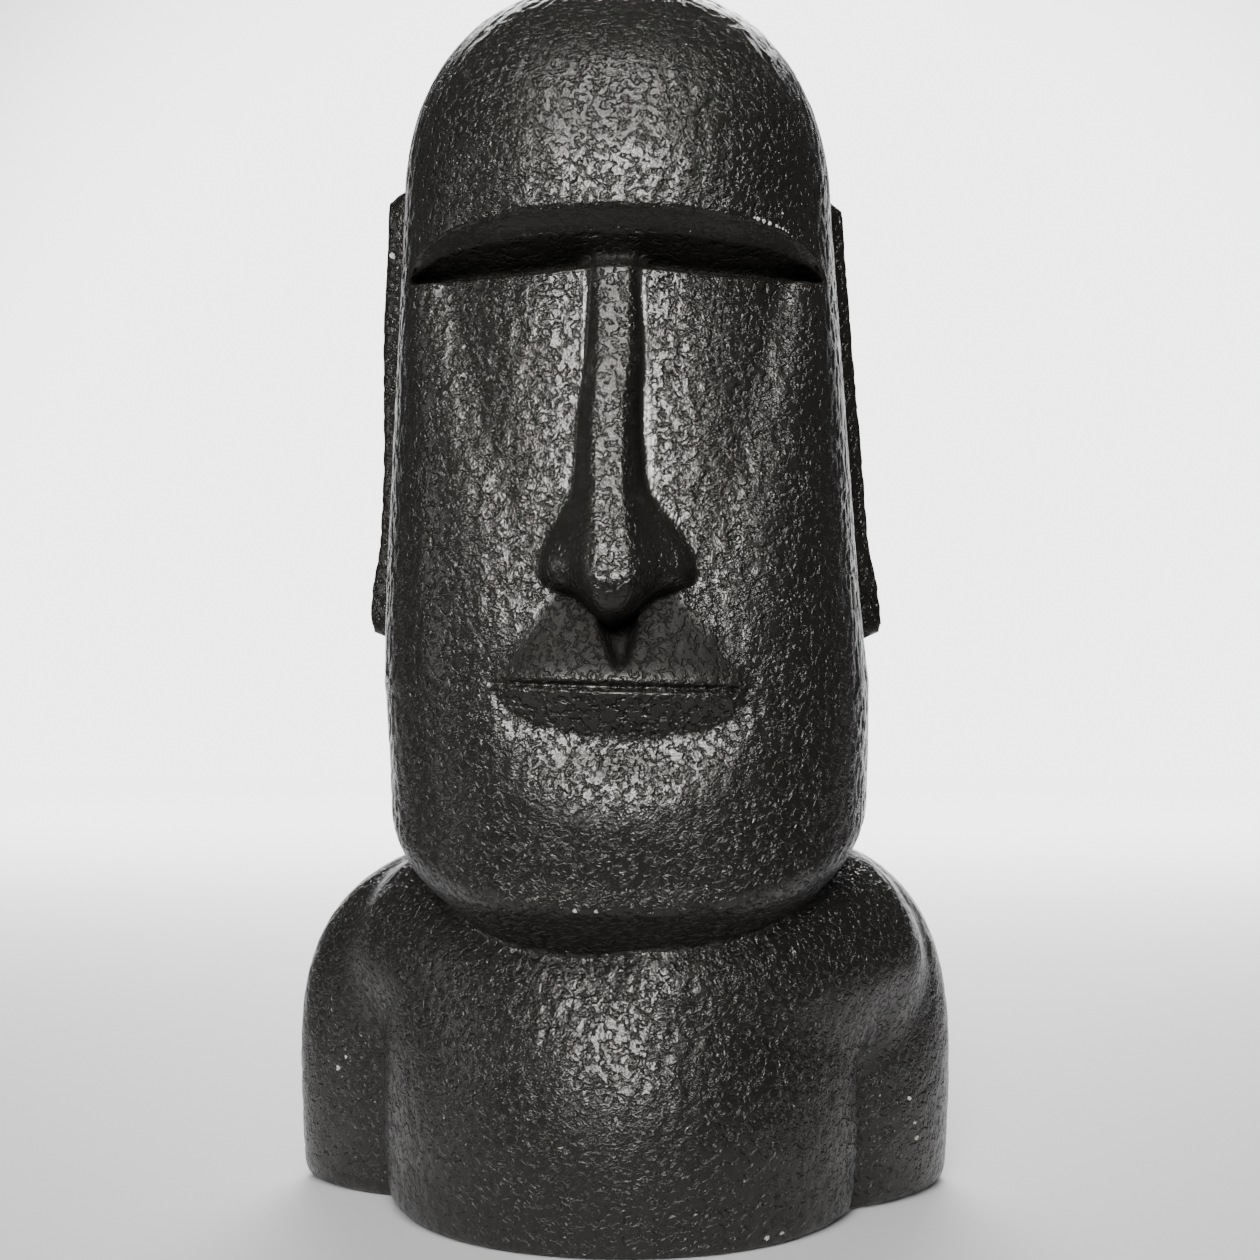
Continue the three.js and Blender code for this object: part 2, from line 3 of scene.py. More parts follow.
import bpy
import numpy as np
from bpy.props import FloatProperty, FloatVectorProperty, PointerProperty
from bpy.types import Operator, Panel, PropertyGroup
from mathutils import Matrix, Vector


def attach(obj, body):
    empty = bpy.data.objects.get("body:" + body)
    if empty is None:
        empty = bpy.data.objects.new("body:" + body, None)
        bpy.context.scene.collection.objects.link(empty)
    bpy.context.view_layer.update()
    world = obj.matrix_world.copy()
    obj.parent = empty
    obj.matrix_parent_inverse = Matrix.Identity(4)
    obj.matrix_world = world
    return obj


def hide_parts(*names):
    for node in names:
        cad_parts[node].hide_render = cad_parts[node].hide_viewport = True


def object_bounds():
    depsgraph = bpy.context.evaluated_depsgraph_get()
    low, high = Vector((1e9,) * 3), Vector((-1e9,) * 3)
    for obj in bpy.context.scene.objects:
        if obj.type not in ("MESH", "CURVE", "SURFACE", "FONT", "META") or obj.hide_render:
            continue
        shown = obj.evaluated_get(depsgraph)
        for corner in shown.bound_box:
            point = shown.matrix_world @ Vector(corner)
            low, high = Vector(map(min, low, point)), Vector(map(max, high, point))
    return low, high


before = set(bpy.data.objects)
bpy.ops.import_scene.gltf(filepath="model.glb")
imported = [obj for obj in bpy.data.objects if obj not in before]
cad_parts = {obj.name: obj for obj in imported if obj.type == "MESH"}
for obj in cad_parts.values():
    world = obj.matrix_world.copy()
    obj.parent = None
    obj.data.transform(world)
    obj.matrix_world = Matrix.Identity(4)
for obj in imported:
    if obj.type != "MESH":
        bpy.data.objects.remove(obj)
CAD_BOX = [list(corner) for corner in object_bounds()]

bl_info = {
    "name": "Garden moai",
    "version": (1, 0, 0),
    "blender": (4, 5, 0),
    "location": "3D View > Sidebar > Moai",
    "description": "Builds a cast and painted moai bust for the garden",
    "category": "Add Mesh",
}

# ---------------------------------------------------------------- sizes, in millimetres

CROWN_Z = 700.0
MM = CAD_BOX[1][2] / CROWN_Z     # one millimetre of the figure, in metres

DOME_Z = 562.0
DOME_POWER = 2.15
DOME_FRONT = 0.55                # in front it closes faster, by this at the crown
JAW_HALF_WIDTH = 137.5
TEMPLE_HALF_WIDTH = 121.5
JAW_Z = 300.0
JAW_TAPER = 3.5
CHIN_FRONT = 145.0
BROW_FRONT = 141.0
NAPE_BACK = 118.0
SKULL_BACK = 112.0
HEAD_POWER = 2.7
HEAD_LEAN = 5.0
LEAN_Z = 290.0
JAW_SHIFT = 3.0
JAW_SHIFT_Z = 240.0
JAW_SHIFT_REACH = 130.0
CHIN_Z = 181.0
JAW_EDGE_Z = 207.0
CHIN_ROUND = 4.0
JAW_ROUND = 26.0
UNDERCHIN_SLOPE = 1.4

CHEST_HALF_WIDTH = 139.0
CHEST_FRONT = 138.0
CHEST_BACK = 112.0
CHEST_Z = 50.0
CHEST_RISE = 158.0
COLLAR_Z = 110.0
COLLAR_RISE = 112.0
COLLAR_POWER = 3
CHEST_GONE = 0.01                # there is no chest once it has closed to this share
FOOT_TAPER = 5.0
ARMS_HALF_WIDTH = (197.0, 193.0)  # towards -X and +X
ARMS_CENTRE_Y = 50.0
ARMS_FRONT = (82.0, 118.0)
ARMS_BACK = 76.0
ARMS_Z = 60.0
ARMS_RISE = (153.0, 158.0)
ARMS_POWER = 3.0
ARMS_TAPER = 4.0
ARMS_TAPER_Z = 90.0
GROOVE_DEPTH = 5.0
GROOVE_REACH = 7.0
GROOVE_FADE_Z = (70.0, 150.0)
GROOVE_BLEND = 3.0               # softness between chest and arm at the groove
SHOULDER_BLEND = 110.0           # and above it
SHOULDER_BLEND_SINE = (0.3, -0.2)  # sines of the angles between which that begins
GROOVE_SINE = 0.2                # sine of the angle behind which there is no groove
SIDE_CHANGE = 3.0                # how fast the -X side turns into the +X side
NECK_BLEND = 4.0
FOOT_ROUND = 3.0
ARM_FOOT_ROUND = 11.0

FACE_HALF_WIDTH = 115.0
FACE_EDGE = 8.0
BROW_END_Z = 511.0
BROW_ARCH = 36.0
BROW_POWER = 2.4
BROW_SOFTNESS = 1.5
LEAST_COVE = 1.0                 # height of the cove, at least
BROW_CHAMFER = 9.5               # depth of the sloping edge under the brow
BROW_CHAMFER_SHARE = 0.4
BROW_CEILING = 36.0              # further depth of the ceiling behind it
BROW_CEILING_POWER = 1.2
CHEEK_RECESS = 23.0
CHEEK_FADE_Z = 240.0
CHEEK_EDGE = (30.0, 80.0)        # width over which the cheeks turn into the sides, high and low
CHEEK_EDGE_Z = 330.0
LEDGE_Z = 514.0
LEDGE_LIFT = 4.0                 # the ledge is this much higher beside the nose
LEDGE_LIFT_REACH = 60.0
LEDGE_EDGE = 4.0

RIDGE_TOP_Z = 524.0
RIDGE_TOP_ROUND = 9.0
RIDGE_FALL = 1.5
RIDGE_TOP_FRONT = 119.0
NOSE_FRONT = 172.0
NOSE_FRONT_Z = 354.0
RIDGE_HALF_WIDTH = (8.5, 8.0)
WALL_HALF_WIDTH = (18.5, 27.0)
WALL_ROUND = 0.6
WING_HALF_WIDTH = 43.0
WING_TOP_Z = 405.0
WING_Z = 358.0
WING_FALL = 0.40                 # share of the nose's height lost from the ridge to the wings
WING_FALL_END = 0.6              # and the share of its width over which that happens
WING_POWER = 6
NOSE_BURIED = 8.0
NOSE_TIP_Z = 328.0
TIP_HALF_WIDTH = 24.0
WING_LIFT = (14.0, 8.0)          # rise of the lower edge beside the tip, and out to the wings
NOSE_UNDER_HEIGHT = (26.0, 15.0)
NOSE_UNDER_POWER = 2.4
NOSE_FILLET = (2.0, 10.0)        # along the nose, and where it runs into the brow
ROOT_HEIGHT = 18.0
NOSE_FALL = 4.0
RIDGE_SHIFT = 3.5
RIDGE_SHIFT_Z = (480.0, 430.0)
RIDGE_SHIFT_REACH = 30.0         # the wings keep to the middle from this far out

MOUTH_Z = 297.5
MOUTH_HALF_WIDTH = 67.0
MOUTH_TILT = 0.027
LIP_SWELL = 13.0
UPPER_LIP_TOP_Z = 346.0
UPPER_LIP_TOP_HALF_WIDTH = 34.0
UPPER_LIP_TOP_SHARE = -0.2       # under the nose the lip lies behind the cheeks
UPPER_LIP_NARROWS = 1.2          # it narrows up to this many lip heights above the mouth
UPPER_LIP_END = 1.4              # and ends here
LIP_ROUND = 1.15
LOWER_LIP_HEIGHT = 26.0
LIP_CREASE = 4.0
CREASE_FADE = 26.0
LIP_CORNER_SHARE = 0.2           # the lower lip fades over this share of its rise at the corners
LEAST_SHARE = 1e-3               # keeps its height above nothing
SLIT_DEPTH = 7.0
SLIT_HALF_HEIGHT = 1.7
SLIT_OVERRUN = 1.0               # the slit goes this far past the corners
LIP_RIM = 1.5                    # raised rim along the lower lip
LIP_RIM_DROP = 3.6
LIP_RIM_HALF_HEIGHT = 1.5
LIP_RIM_FADE_X = (47.6, 13.6)
HOLLOW_DEPTH = 22.0
HOLLOW_BOTTOM_Z = 307.0
HOLLOW_TOP_Z = 344.0             # hidden inside the nose
HOLLOW_END = (5.0, 8.0)          # height over which it runs out, at the bottom and at the top
HOLLOW_HALF_WIDTH = (2.5, 10.5)
HOLLOW_POWER = 0.8
CHIN_SWELL = 4.0
CHIN_SWELL_Z = 228.0
CHIN_SWELL_REACH = (90.0, 42.0)  # across and up

EAR_TOP_Z = (590.0, 583.0)       # towards -X and +X
EAR_BOTTOM_Z = 322.0
EAR_CENTRE_Y = 24.0
EAR_HALF_WIDTH = 19.0
EAR_CORNER = 9.0
EAR_BEGIN_X = (36.0, 96.0)       # nearer the middle than this there is no ear
EAR_SWELL = 10.5
EAR_TOP_SWELL = (4.5, -1.0)      # added towards the top
EAR_TOP_SWELL_Z = (410.0, 520.0)
LOBE_SWELL = 3.5
LOBE_SPREAD = 3.0
LOBE_Z = 342.0
LOBE_REACH = 42.0
EAR_EDGE = 5.0
EAR_TOP_SOFTNESS = 0.6           # the top edge rises over a longer way, by 1 / this
EAR_CHANNEL = 4.0
EAR_CHANNEL_HALF_WIDTH = 7.0
EAR_CHANNEL_END = (10.0, 22.0)   # it stops this far from the lobe and from the top
EAR_CHANNEL_FADE = 12.0

CARVING_Z = (187.0, 203.0)       # the face begins between these heights
CARVING_END = 12.0               # and ends over this much, at the foot of the skull
FACE_BEGIN_Y = 30.0              # smooth parts, and dull parts with painted shade, are whole this far before the axis

COLUMNS = 360                    # grid around the axis
FRONT_DENSITY = 2.4              # closer columns on the face
FRONT_CHANGE = 1.5               # how fast they draw together
ANGLE_SAMPLES = 2881
CREASE_HALVINGS = 24
LEAST_NORMAL = 1e-9              # keeps the normals' length above nothing
SKULL_ROWS = 44
QUARTER_TURN = np.pi / 2

PIT_SIZE = (7.6, 5.8)            # wavelengths of the hammered relief
PIT_SHARE = 0.6
PIT_STRETCH = 0.9                # the pits are longer upright
PIT_LEVELS = (-1.1, 0.2)         # a whole pit below the first, a flat flake above the second
PIT_WAVES = 40
SWELL_SIZE = 17.0
SWELL_WAVES = 28
PIT_SEEDS = (11, 12)
SWELL_SEED = 21
WAVE_SPREAD = (0.6, 1.4)         # shortest and longest of the waves, as shares of the mean
SMOOTH_RELIEF = 0.12             # share of the relief that is left on the smooth parts
FOOT_PLAIN_Z = 4.0               # there is none at the rim of the foot
CROWN_PLAIN = 0.12               # nor at the very crown

# the smooth parts, and the dull parts with painted shade, begin and end between two places
EDGE_BLEND = (-1.0, 1.0)         # over an edge
WALL_SMOOTH_X = (9.0, 13.0)      # walls of the nose: out from the ridge
WALL_SMOOTH_END = (1.0, -3.0)    # and up to their foot
WING_SMOOTHNESS = 0.55
ROOT_SMOOTH_END = (8.0, -6.0)    # round the top of the ridge
UNDER_SMOOTH_END = (2.0, -4.0)   # underside of the nose: up to its foot
UNDER_SMOOTH_Z = (350.0, 340.0)
STRIP_BEGIN = 0.06               # edge under the brow, as a share of the way to the ledge
STRIP_END = (0.1, -0.1)          # round the share of the chamfer
CEILING_BEGIN = (-0.05, 0.07)    # ceiling behind it
ROOT_HALF_WIDTH = (12.0, 18.0)
ROOT_BEGIN = (-12.0, 0.0)        # root of the nose: up to the top of the ridge
ROOT_END = (-12.0, -22.0)        # and below the edge of the brow
ROOT_DULL_SHADE = 0.8
NOTCH_FULL_DEPTH = 6.0
NOTCH_OVERRUN = 6.0
TENT_EDGE = 5.0                  # upper lip, where the nose's shade is painted in
TENT_BEGIN = 0.25
TENT_OVERRUN = 4.0
TENT_DULL_SHADE = 0.85

MARK_DETAIL = 2.5                # fine marks in the paint
MARK_ROUGHNESS = 0.55
MARK_DISTORTION = 0.6
FLAKE_LEVELS = (0.33, 0.54)
FLAKE_SHARE = 0.8
GRAIN_SHARE = 0.3
GRAIN_FINENESS = 3.1             # times finer than the flakes
FINE_DETAIL = 2.0
SMOOTH_MARKS = 0.8               # share of the marks that the smooth parts lose
RECESS_ROUGHNESS = 0.36          # added in the recesses and the chips
FULL_REFLECTION = 0.5
RECESS_SHADE = 0.38            # taken off the reflection in the recesses, as painted shade
REFLECTION_TINT = (1.0, 0.97, 0.93)
CHIP_DEPTH = 4.0
CHIP_RAGGEDNESS = 700.0          # scale of the noise that frays the chips
PAINT_CHIPS = (                  # places before or beside the axis, and radii
    (86.0, -119.0, 547.0, 1.2), (-137.0, 10.0, 548.0, 1.8), (-112.0, -70.0, 384.0, 1.9),
    (-22.0, -145.0, 182.0, 1.3), (-11.0, -145.0, 182.0, 1.0), (91.0, -100.0, 193.0, 1.6),
    (-168.0, 5.0, 72.0, 1.4), (-163.0, 3.0, 79.0, 0.9), (163.0, -13.0, 60.0, 1.3),
    (167.0, -9.0, 45.0, 1.0), (168.0, -8.0, 36.0, 1.2), (78.0, -110.0, 6.0, 1.3),
    (86.0, -105.0, 7.0, 1.0),
)
WORN_BROW_X = (71.0, 91.0)       # a worn line of specks along the edge of the brow
WORN_BROW_STEP = 1.7
WORN_BROW_RADIUS = 0.75
WORN_BROW_VARIATION = 0.5
WORN_BROW_WAVE = 2.0
WORN_BROW_LIFT = 0.4

AXIS_X = 2.0                     # the figure's own axis, from the origin
AXIS_Y = 23.0

# ---------------------------------------------------------------- the studio, in metres

FLOOR_EDGES = (-6.0, -6.0, 6.0, 4.6)  # west, south, east, north
PAPER_EDGE = (-0.28, -0.5)       # the paper ends between these, before the figure
PAPER_HALF_WIDTH = 0.4           # beside the figure
PAPER_SPREAD = 0.3               # wider by this for each metre behind it
PAPER_SIDE_BLEND = 0.1
PAPER_FADE = (4.4, 1.4)          # it fades from the second to the first, behind
PAPER_ROUGHNESS = 0.8
MOTTLE_SCALE = 3.0
MOTTLE_SHARE = 0.97              # colour of the mottling, as a share of the paper's
SHADED_FLOOR_SHARE = 0.2           # and of the floor around the paper, darkened as painted shade
AIR_STRENGTH = 0.1
WALL_Y = (0.87, 0.955)           # the wall lies between these parts of a direction
WALL_Z = (0.45, 0.31)
FAR_FLOOR_Y = 2.8                # what the floor light is aimed at
CAMERA_DISTANCE = 1.25
CAMERA_HEIGHT = 0.3164
CAMERA_TURN = 1.5                # degrees round to +X
CAMERA_AIM_X = 0.0029
CAMERA_AIM_HEIGHT = 0.328
SENSOR_WIDTH = 36.0              # millimetres


# ---------------------------------------------------------------- small functions on arrays

def mix(a, b, t):
    return a + (b - a) * t


def ramp(value, start, end):
    """Straight rise from 0 at start to 1 at end."""
    return np.clip((value - start) / (end - start), 0.0, 1.0)


def ease(t):
    """Rise from 0 to 1 with level ends: 3 t squared minus 2 t cubed."""
    c = np.clip(t, 0.0, 1.0)
    return c * c * (3.0 - 2.0 * c)


def between(value, ends):
    """Eased rise from 0 at the first of two ends to 1 at the second."""
    return ease(ramp(value, *ends))


def smooth_max(a, b, k):
    """The larger value, rounded over where the two are within k of each other."""
    overlap = np.maximum(k - np.abs(a - b), 0.0)
    return np.maximum(a, b) + overlap * overlap / (4.0 * k)


def smooth_min(a, b, k):
    return -smooth_max(-a, -b, k)


def soft_start(value, k):
    """Zero below -k, the value above k, and a parabola between."""
    bend = (value + k) ** 2 / (4.0 * k)
    return np.where(value <= -k, 0.0, np.where(value >= k, value, bend))


def super_arc(t, power):
    """Height of the unit superellipse at t from its centre."""
    return (1.0 - np.minimum(1.0, np.abs(t)) ** power) ** (1.0 / power)


def super_radius(angle, half_width, depth, power):
    """Distance from the axis to a superellipse, at an angle."""
    across = np.abs(np.cos(angle) / half_width) ** power
    along = np.abs(np.sin(angle) / depth) ** power
    return (across + along) ** (-1.0 / power)


# ---------------------------------------------------------------- horizontal sections

def chin_edge(angle):
    """Height and softness of the lower edge of the head: low in front, higher round the jaw."""
    side = np.where(np.sin(angle) < 0, np.cos(angle) ** 2, 1.0)
    return mix(CHIN_Z, JAW_EDGE_Z, side), mix(CHIN_ROUND, JAW_ROUND, side)


def head_radius(angle, z, closing):
    """Superellipse block, narrower upwards, cut off below by a cone that runs in under the chin."""
    rise = ramp(z, JAW_Z, DOME_Z)
    half_width = mix(JAW_HALF_WIDTH, TEMPLE_HALF_WIDTH, rise) - JAW_TAPER * ramp(z, JAW_Z, JAW_EDGE_Z)
    front = mix(CHIN_FRONT, BROW_FRONT, rise)
    back = mix(NAPE_BACK, SKULL_BACK, rise)
    depth = np.where(np.sin(angle) < 0, front * mix(DOME_FRONT, 1.0, closing), back)
    block = closing * super_radius(angle, half_width, depth, HEAD_POWER)
    edge_z, soft = chin_edge(angle)
    return block - UNDERCHIN_SLOPE * soft_start(edge_z - z, soft)


def chest_radius(angle, z):
    """Oval whose depth closes early and whose width closes late, tapered a little at the floor."""
    depth = np.where(np.sin(angle) < 0, CHEST_FRONT, CHEST_BACK)
    shallower = super_arc(np.maximum(0.0, z - CHEST_Z) / CHEST_RISE, 2)
    narrower = super_arc(np.maximum(0.0, z - COLLAR_Z) / COLLAR_RISE, COLLAR_POWER)
    gone = shallower * narrower <= CHEST_GONE
    shallower = np.where(gone, 1.0, shallower)
    narrower = np.where(gone, 1.0, narrower)
    plan = super_radius(angle, CHEST_HALF_WIDTH * narrower, depth * shallower, 2)
    tapered = plan - FOOT_TAPER * (np.maximum(0.0, CHEST_Z - z) / CHEST_Z) ** 2
    return np.where(gone, 0.0, tapered)


def by_side(angle, pair):
    """The first value on the -X side, the second on the +X side."""
    return mix(pair[0], pair[1], ease(0.5 + SIDE_CHANGE * np.cos(angle)))


def oval_reach(angle, depth):
    """Distance from the axis to an ellipse whose centre lies behind the axis."""
    c = np.cos(angle) / by_side(angle, ARMS_HALF_WIDTH)
    s = np.sin(angle) / depth
    shift = ARMS_CENTRE_Y / depth
    square = c * c + s * s
    return (s * shift + np.sqrt((s * shift) ** 2 - square * (shift ** 2 - 1.0))) / square


def arms_radius(angle, z):
    front = oval_reach(angle, by_side(angle, ARMS_FRONT))
    back = oval_reach(angle, ARMS_BACK)
    plan = np.where(front * np.sin(angle) < ARMS_CENTRE_Y, front, back)
    tapered = plan - ARMS_TAPER * (np.maximum(0.0, ARMS_TAPER_Z - z) / ARMS_TAPER_Z) ** 2
    return tapered * super_arc(np.maximum(0.0, z - ARMS_Z) / by_side(angle, ARMS_RISE), ARMS_POWER)


def foot_round(angle):
    return mix(FOOT_ROUND, ARM_FOOT_ROUND, np.cos(angle) ** 4)


def torso_radius(angle, z):
    """Chest and arms joined, softly at the shoulders, with a groove lower down and a rounded foot."""
    chest = chest_radius(angle, z)
    arms = arms_radius(angle, z)
    fade = ease(ramp(z, *GROOVE_FADE_Z))
    in_front = ease(ramp(np.sin(angle), *SHOULDER_BLEND_SINE))
    joined = smooth_max(chest, arms, mix(GROOVE_BLEND, SHOULDER_BLEND, fade * in_front))
    groove = GROOVE_DEPTH * (1.0 - fade) * np.exp(-((chest - arms) / GROOVE_REACH) ** 2)
    curve = foot_round(angle)
    turn = curve * (1.0 - np.sqrt(1.0 - np.clip(1.0 - z / curve, 0.0, 1.0) ** 2))
    return joined - np.where(np.sin(angle) < GROOVE_SINE, groove, 0.0) - turn


# ---------------------------------------------------------------- face

def brow_z(x):
    return BROW_END_Z + BROW_ARCH * super_arc(x / FACE_HALF_WIDTH, BROW_POWER)


def ledge_z(x):
    return LEDGE_Z + LEDGE_LIFT * ease(1.0 - np.abs(x) / LEDGE_LIFT_REACH)


def cheek_recess(x, z):
    """Depth of the cheeks behind the brow: most under the sockets, none at the chin and the sides."""
    width = mix(*CHEEK_EDGE[::-1], ramp(z, CHEEK_EDGE_Z, LEDGE_Z))
    within = ease((FACE_HALF_WIDTH - np.abs(x)) / width)
    return CHEEK_RECESS * ramp(z, CHEEK_FADE_Z, LEDGE_Z) * within


def under_brow(x, z):
    """How far down the cove under the brow a height lies: 0 at its edge, 1 at the ledge."""
    edge = brow_z(x)
    height = np.maximum(edge - ledge_z(x), LEAST_COVE)
    return np.clip(soft_start(edge - z, BROW_SOFTNESS) / height, 0.0, 1.0)


def brow_hollow(x, z):
    """Cove under the brow: a chamfer at its edge, then a steeper ceiling over the ledge."""
    t = under_brow(x, z)
    chamfer = np.minimum(t / BROW_CHAMFER_SHARE, 1.0)
    ceiling = np.maximum(t - BROW_CHAMFER_SHARE, 0.0) / (1.0 - BROW_CHAMFER_SHARE)
    within = ease((FACE_HALF_WIDTH - np.abs(x)) / FACE_EDGE)
    return (BROW_CHAMFER * chamfer + BROW_CEILING * ceiling ** BROW_CEILING_POWER) * within


def mouth_z(x):
    return MOUTH_Z - MOUTH_TILT * x


def upper_lip_half_width(up):
    narrowed = np.clip(up, 0.0, UPPER_LIP_NARROWS)
    return mix(MOUTH_HALF_WIDTH, UPPER_LIP_TOP_HALF_WIDTH, narrowed)


def upper_lip(x, z):
    """A tent from the wings of the nose to the corners of the mouth, highest at the mouth."""
    up = np.maximum(z - mouth_z(x), 0.0) / (UPPER_LIP_TOP_Z - MOUTH_Z)
    across = super_arc(x / upper_lip_half_width(up), 2) ** LIP_ROUND
    return LIP_SWELL * mix(1.0, UPPER_LIP_TOP_SHARE, np.minimum(up, 1.0)) * across * (up < UPPER_LIP_END)


def lower_lip(x, z):
    """A crescent that falls back straight from the mouth to a crease, and a chin that rises from it."""
    below = np.maximum(mouth_z(x) - z, 0.0)
    across = super_arc(x / MOUTH_HALF_WIDTH, 2)
    height = LOWER_LIP_HEIGHT * np.maximum(across, LEAST_SHARE)
    down = below / height
    front = LIP_SWELL * across ** LIP_ROUND
    lip = mix(front, -LIP_CREASE * across, np.minimum(down, 1.0))
    chin = -LIP_CREASE * across * (1.0 - ease((below - height) / CREASE_FADE))
    return np.where(down < 1.0, lip, chin) * ease(across / LIP_CORNER_SHARE)


def mouth_slit(x, z):
    """A thin slit with a raised rim on the lower lip."""
    above = z - mouth_z(x)
    across = np.sqrt(super_arc(x / (MOUTH_HALF_WIDTH + SLIT_OVERRUN), 2))
    slit = SLIT_DEPTH * np.exp(-((above / SLIT_HALF_HEIGHT) ** 2)) * across
    rim = LIP_RIM * np.exp(-(((above + LIP_RIM_DROP) / LIP_RIM_HALF_HEIGHT) ** 2))
    return rim * ease(ramp(np.abs(x), *LIP_RIM_FADE_X)) - slit


def lip_hollow(x, z):
    """Round-bottomed notch between the nose and the upper lip."""
    up = ramp(z, HOLLOW_BOTTOM_Z, NOSE_TIP_Z)
    half_width = mix(*HOLLOW_HALF_WIDTH, up ** HOLLOW_POWER)
    across = np.clip(1.0 - np.abs(x) / half_width, 0.0, 1.0)
    bottom, top = HOLLOW_END
    ends = ease((z - HOLLOW_BOTTOM_Z) / bottom) * ease((HOLLOW_TOP_Z - z) / top)
    return HOLLOW_DEPTH * across ** HOLLOW_POWER * ends


def nose_under_z(from_ridge):
    """Lower edge of the nose: a round tip, then a slower rise under the wings."""
    out = np.minimum(1.0, from_ridge / WING_HALF_WIDTH)
    return NOSE_TIP_Z + WING_LIFT[0] * ease(from_ridge / TIP_HALF_WIDTH) + WING_LIFT[1] * out ** 2


def nose_lines(z):
    """How far down the ridge a height lies, how far the wings have spread, and the half widths of
    the ridge and of the foot of the walls there."""
    low = ramp(z, RIDGE_TOP_Z, NOSE_FRONT_Z)
    winged = ease(ramp(z, WING_TOP_Z, WING_Z))
    outer = mix(mix(*WALL_HALF_WIDTH, low ** 2), WING_HALF_WIDTH, winged)
    return low, winged, mix(*RIDGE_HALF_WIDTH, low), outer


def nose_front(x, z, face):
    """Front of the nose, as a distance from the axis, over a face that lies at `face`.

    A flat ridge comes forward downwards between steep walls, which spread low down into wings
    with rounded shoulders, and everything turns under in a quarter oval above the lower edge.
    """
    buried = face - NOSE_BURIED
    low, winged, inner, outer = nose_lines(z)
    shift = RIDGE_SHIFT * ease(ramp(z, *RIDGE_SHIFT_Z))
    kept = 1.0 - winged * np.minimum(1.0, np.abs(x) / RIDGE_SHIFT_REACH)
    from_ridge = np.abs(x + shift * kept)
    ridge = mix(RIDGE_TOP_FRONT, NOSE_FRONT, low)
    out = np.clip((from_ridge - inner) / (outer - inner), 0.0, 1.0)
    wall = mix(out, ease(out), WALL_ROUND)
    shoulder = WING_FALL * ease(out / WING_FALL_END) + (1.0 - WING_FALL) * out ** WING_POWER
    whole = mix(ridge, buried, mix(wall, shoulder, winged))
    under_z = nose_under_z(from_ridge)
    under_height = mix(*NOSE_UNDER_HEIGHT, np.minimum(1.0, from_ridge / WING_HALF_WIDTH))
    under = super_arc(1.0 - np.clip((z - under_z) / under_height, 0.0, 1.0), NOSE_UNDER_POWER)
    return mix(buried, whole, under) - NOSE_FALL * np.maximum(from_ridge - outer, 0.0)


def face_relief(x, z, block):
    """How far the carved face stands before the plain front of the head, which lies at `block`."""
    across, up = CHIN_SWELL_REACH
    chin = CHIN_SWELL * ease(1.0 - np.hypot(x / across, (z - CHIN_SWELL_Z) / up))
    cheeks = block - cheek_recess(x, z) + chin
    flat = mix(cheeks, block - brow_hollow(x, z), ease((z - ledge_z(x)) / LEDGE_EDGE))
    lips = np.where(z > mouth_z(x), upper_lip(x, z), lower_lip(x, z)) + mouth_slit(x, z)
    nose = nose_front(x, z, cheeks)
    nose = nose - RIDGE_FALL * soft_start(z - RIDGE_TOP_Z, RIDGE_TOP_ROUND)
    fillet = mix(*NOSE_FILLET, ease(ramp(z, RIDGE_TOP_Z - ROOT_HEIGHT, RIDGE_TOP_Z)))
    return smooth_max(flat + lips - lip_hollow(x, z), nose, fillet) - block


# ---------------------------------------------------------------- ears

def ear_relief(angle, y, z):
    """Long slab beside the head with a channel along it and a lobe that swells at its foot."""
    lobe = ease(1.0 - np.abs(z - LOBE_Z) / LOBE_REACH)
    half_width = EAR_HALF_WIDTH + LOBE_SPREAD * lobe
    top_z = by_side(angle, EAR_TOP_Z)
    upright = np.minimum((top_z - z) * EAR_TOP_SOFTNESS, z - EAR_BOTTOM_Z)
    inside = smooth_min(upright, half_width - np.abs(y - EAR_CENTRE_Y), EAR_CORNER)
    from_lobe, from_top = EAR_CHANNEL_END
    ends = ease(np.minimum(top_z - from_top - z, z - LOBE_Z - from_lobe) / EAR_CHANNEL_FADE)
    channel = ease(1.0 - np.abs(y - EAR_CENTRE_Y) / EAR_CHANNEL_HALF_WIDTH) * ends
    high = ease(ramp(z, *EAR_TOP_SWELL_Z))
    swell = EAR_SWELL + LOBE_SWELL * lobe + by_side(angle, EAR_TOP_SWELL) * high
    return swell * ease(inside / EAR_EDGE) - EAR_CHANNEL * channel


# ---------------------------------------------------------------- the skin

def lean_at(z):
    """How far the figure stands off its own axis at a height, to -X: the head leans from the
    mouth up, and the jaw stands a little the other way."""
    jaw = JAW_SHIFT * ease(1.0 - np.abs(z - JAW_SHIFT_Z) / JAW_SHIFT_REACH)
    return HEAD_LEAN * ramp(z, LEAN_Z, CROWN_Z) - jaw


def skin(angle, z, closing):
    """Points of the figure for an angle around the axis, a height, and how far the skull has closed
    there, from 1 (not at all) to 0 at the crown."""
    head = head_radius(angle, z, closing)
    # where the skull closes there is only the head
    radius = np.where(closing < 1.0, head, smooth_max(head, torso_radius(angle, z), NECK_BLEND))
    x = radius * np.cos(angle)
    y = radius * np.sin(angle)
    carved = ramp(z, *CARVING_Z) * ramp(z, DOME_Z, DOME_Z - CARVING_END)
    face = np.where(y < 0, carved * face_relief(x, z, -y), 0.0)
    ear = np.sign(x) * ear_relief(angle, y, z) * ease(ramp(np.abs(x), *EAR_BEGIN_X))
    lean = lean_at(z)
    return np.stack([x + ear - lean, y - face, z + 0.0 * x], axis=-1)


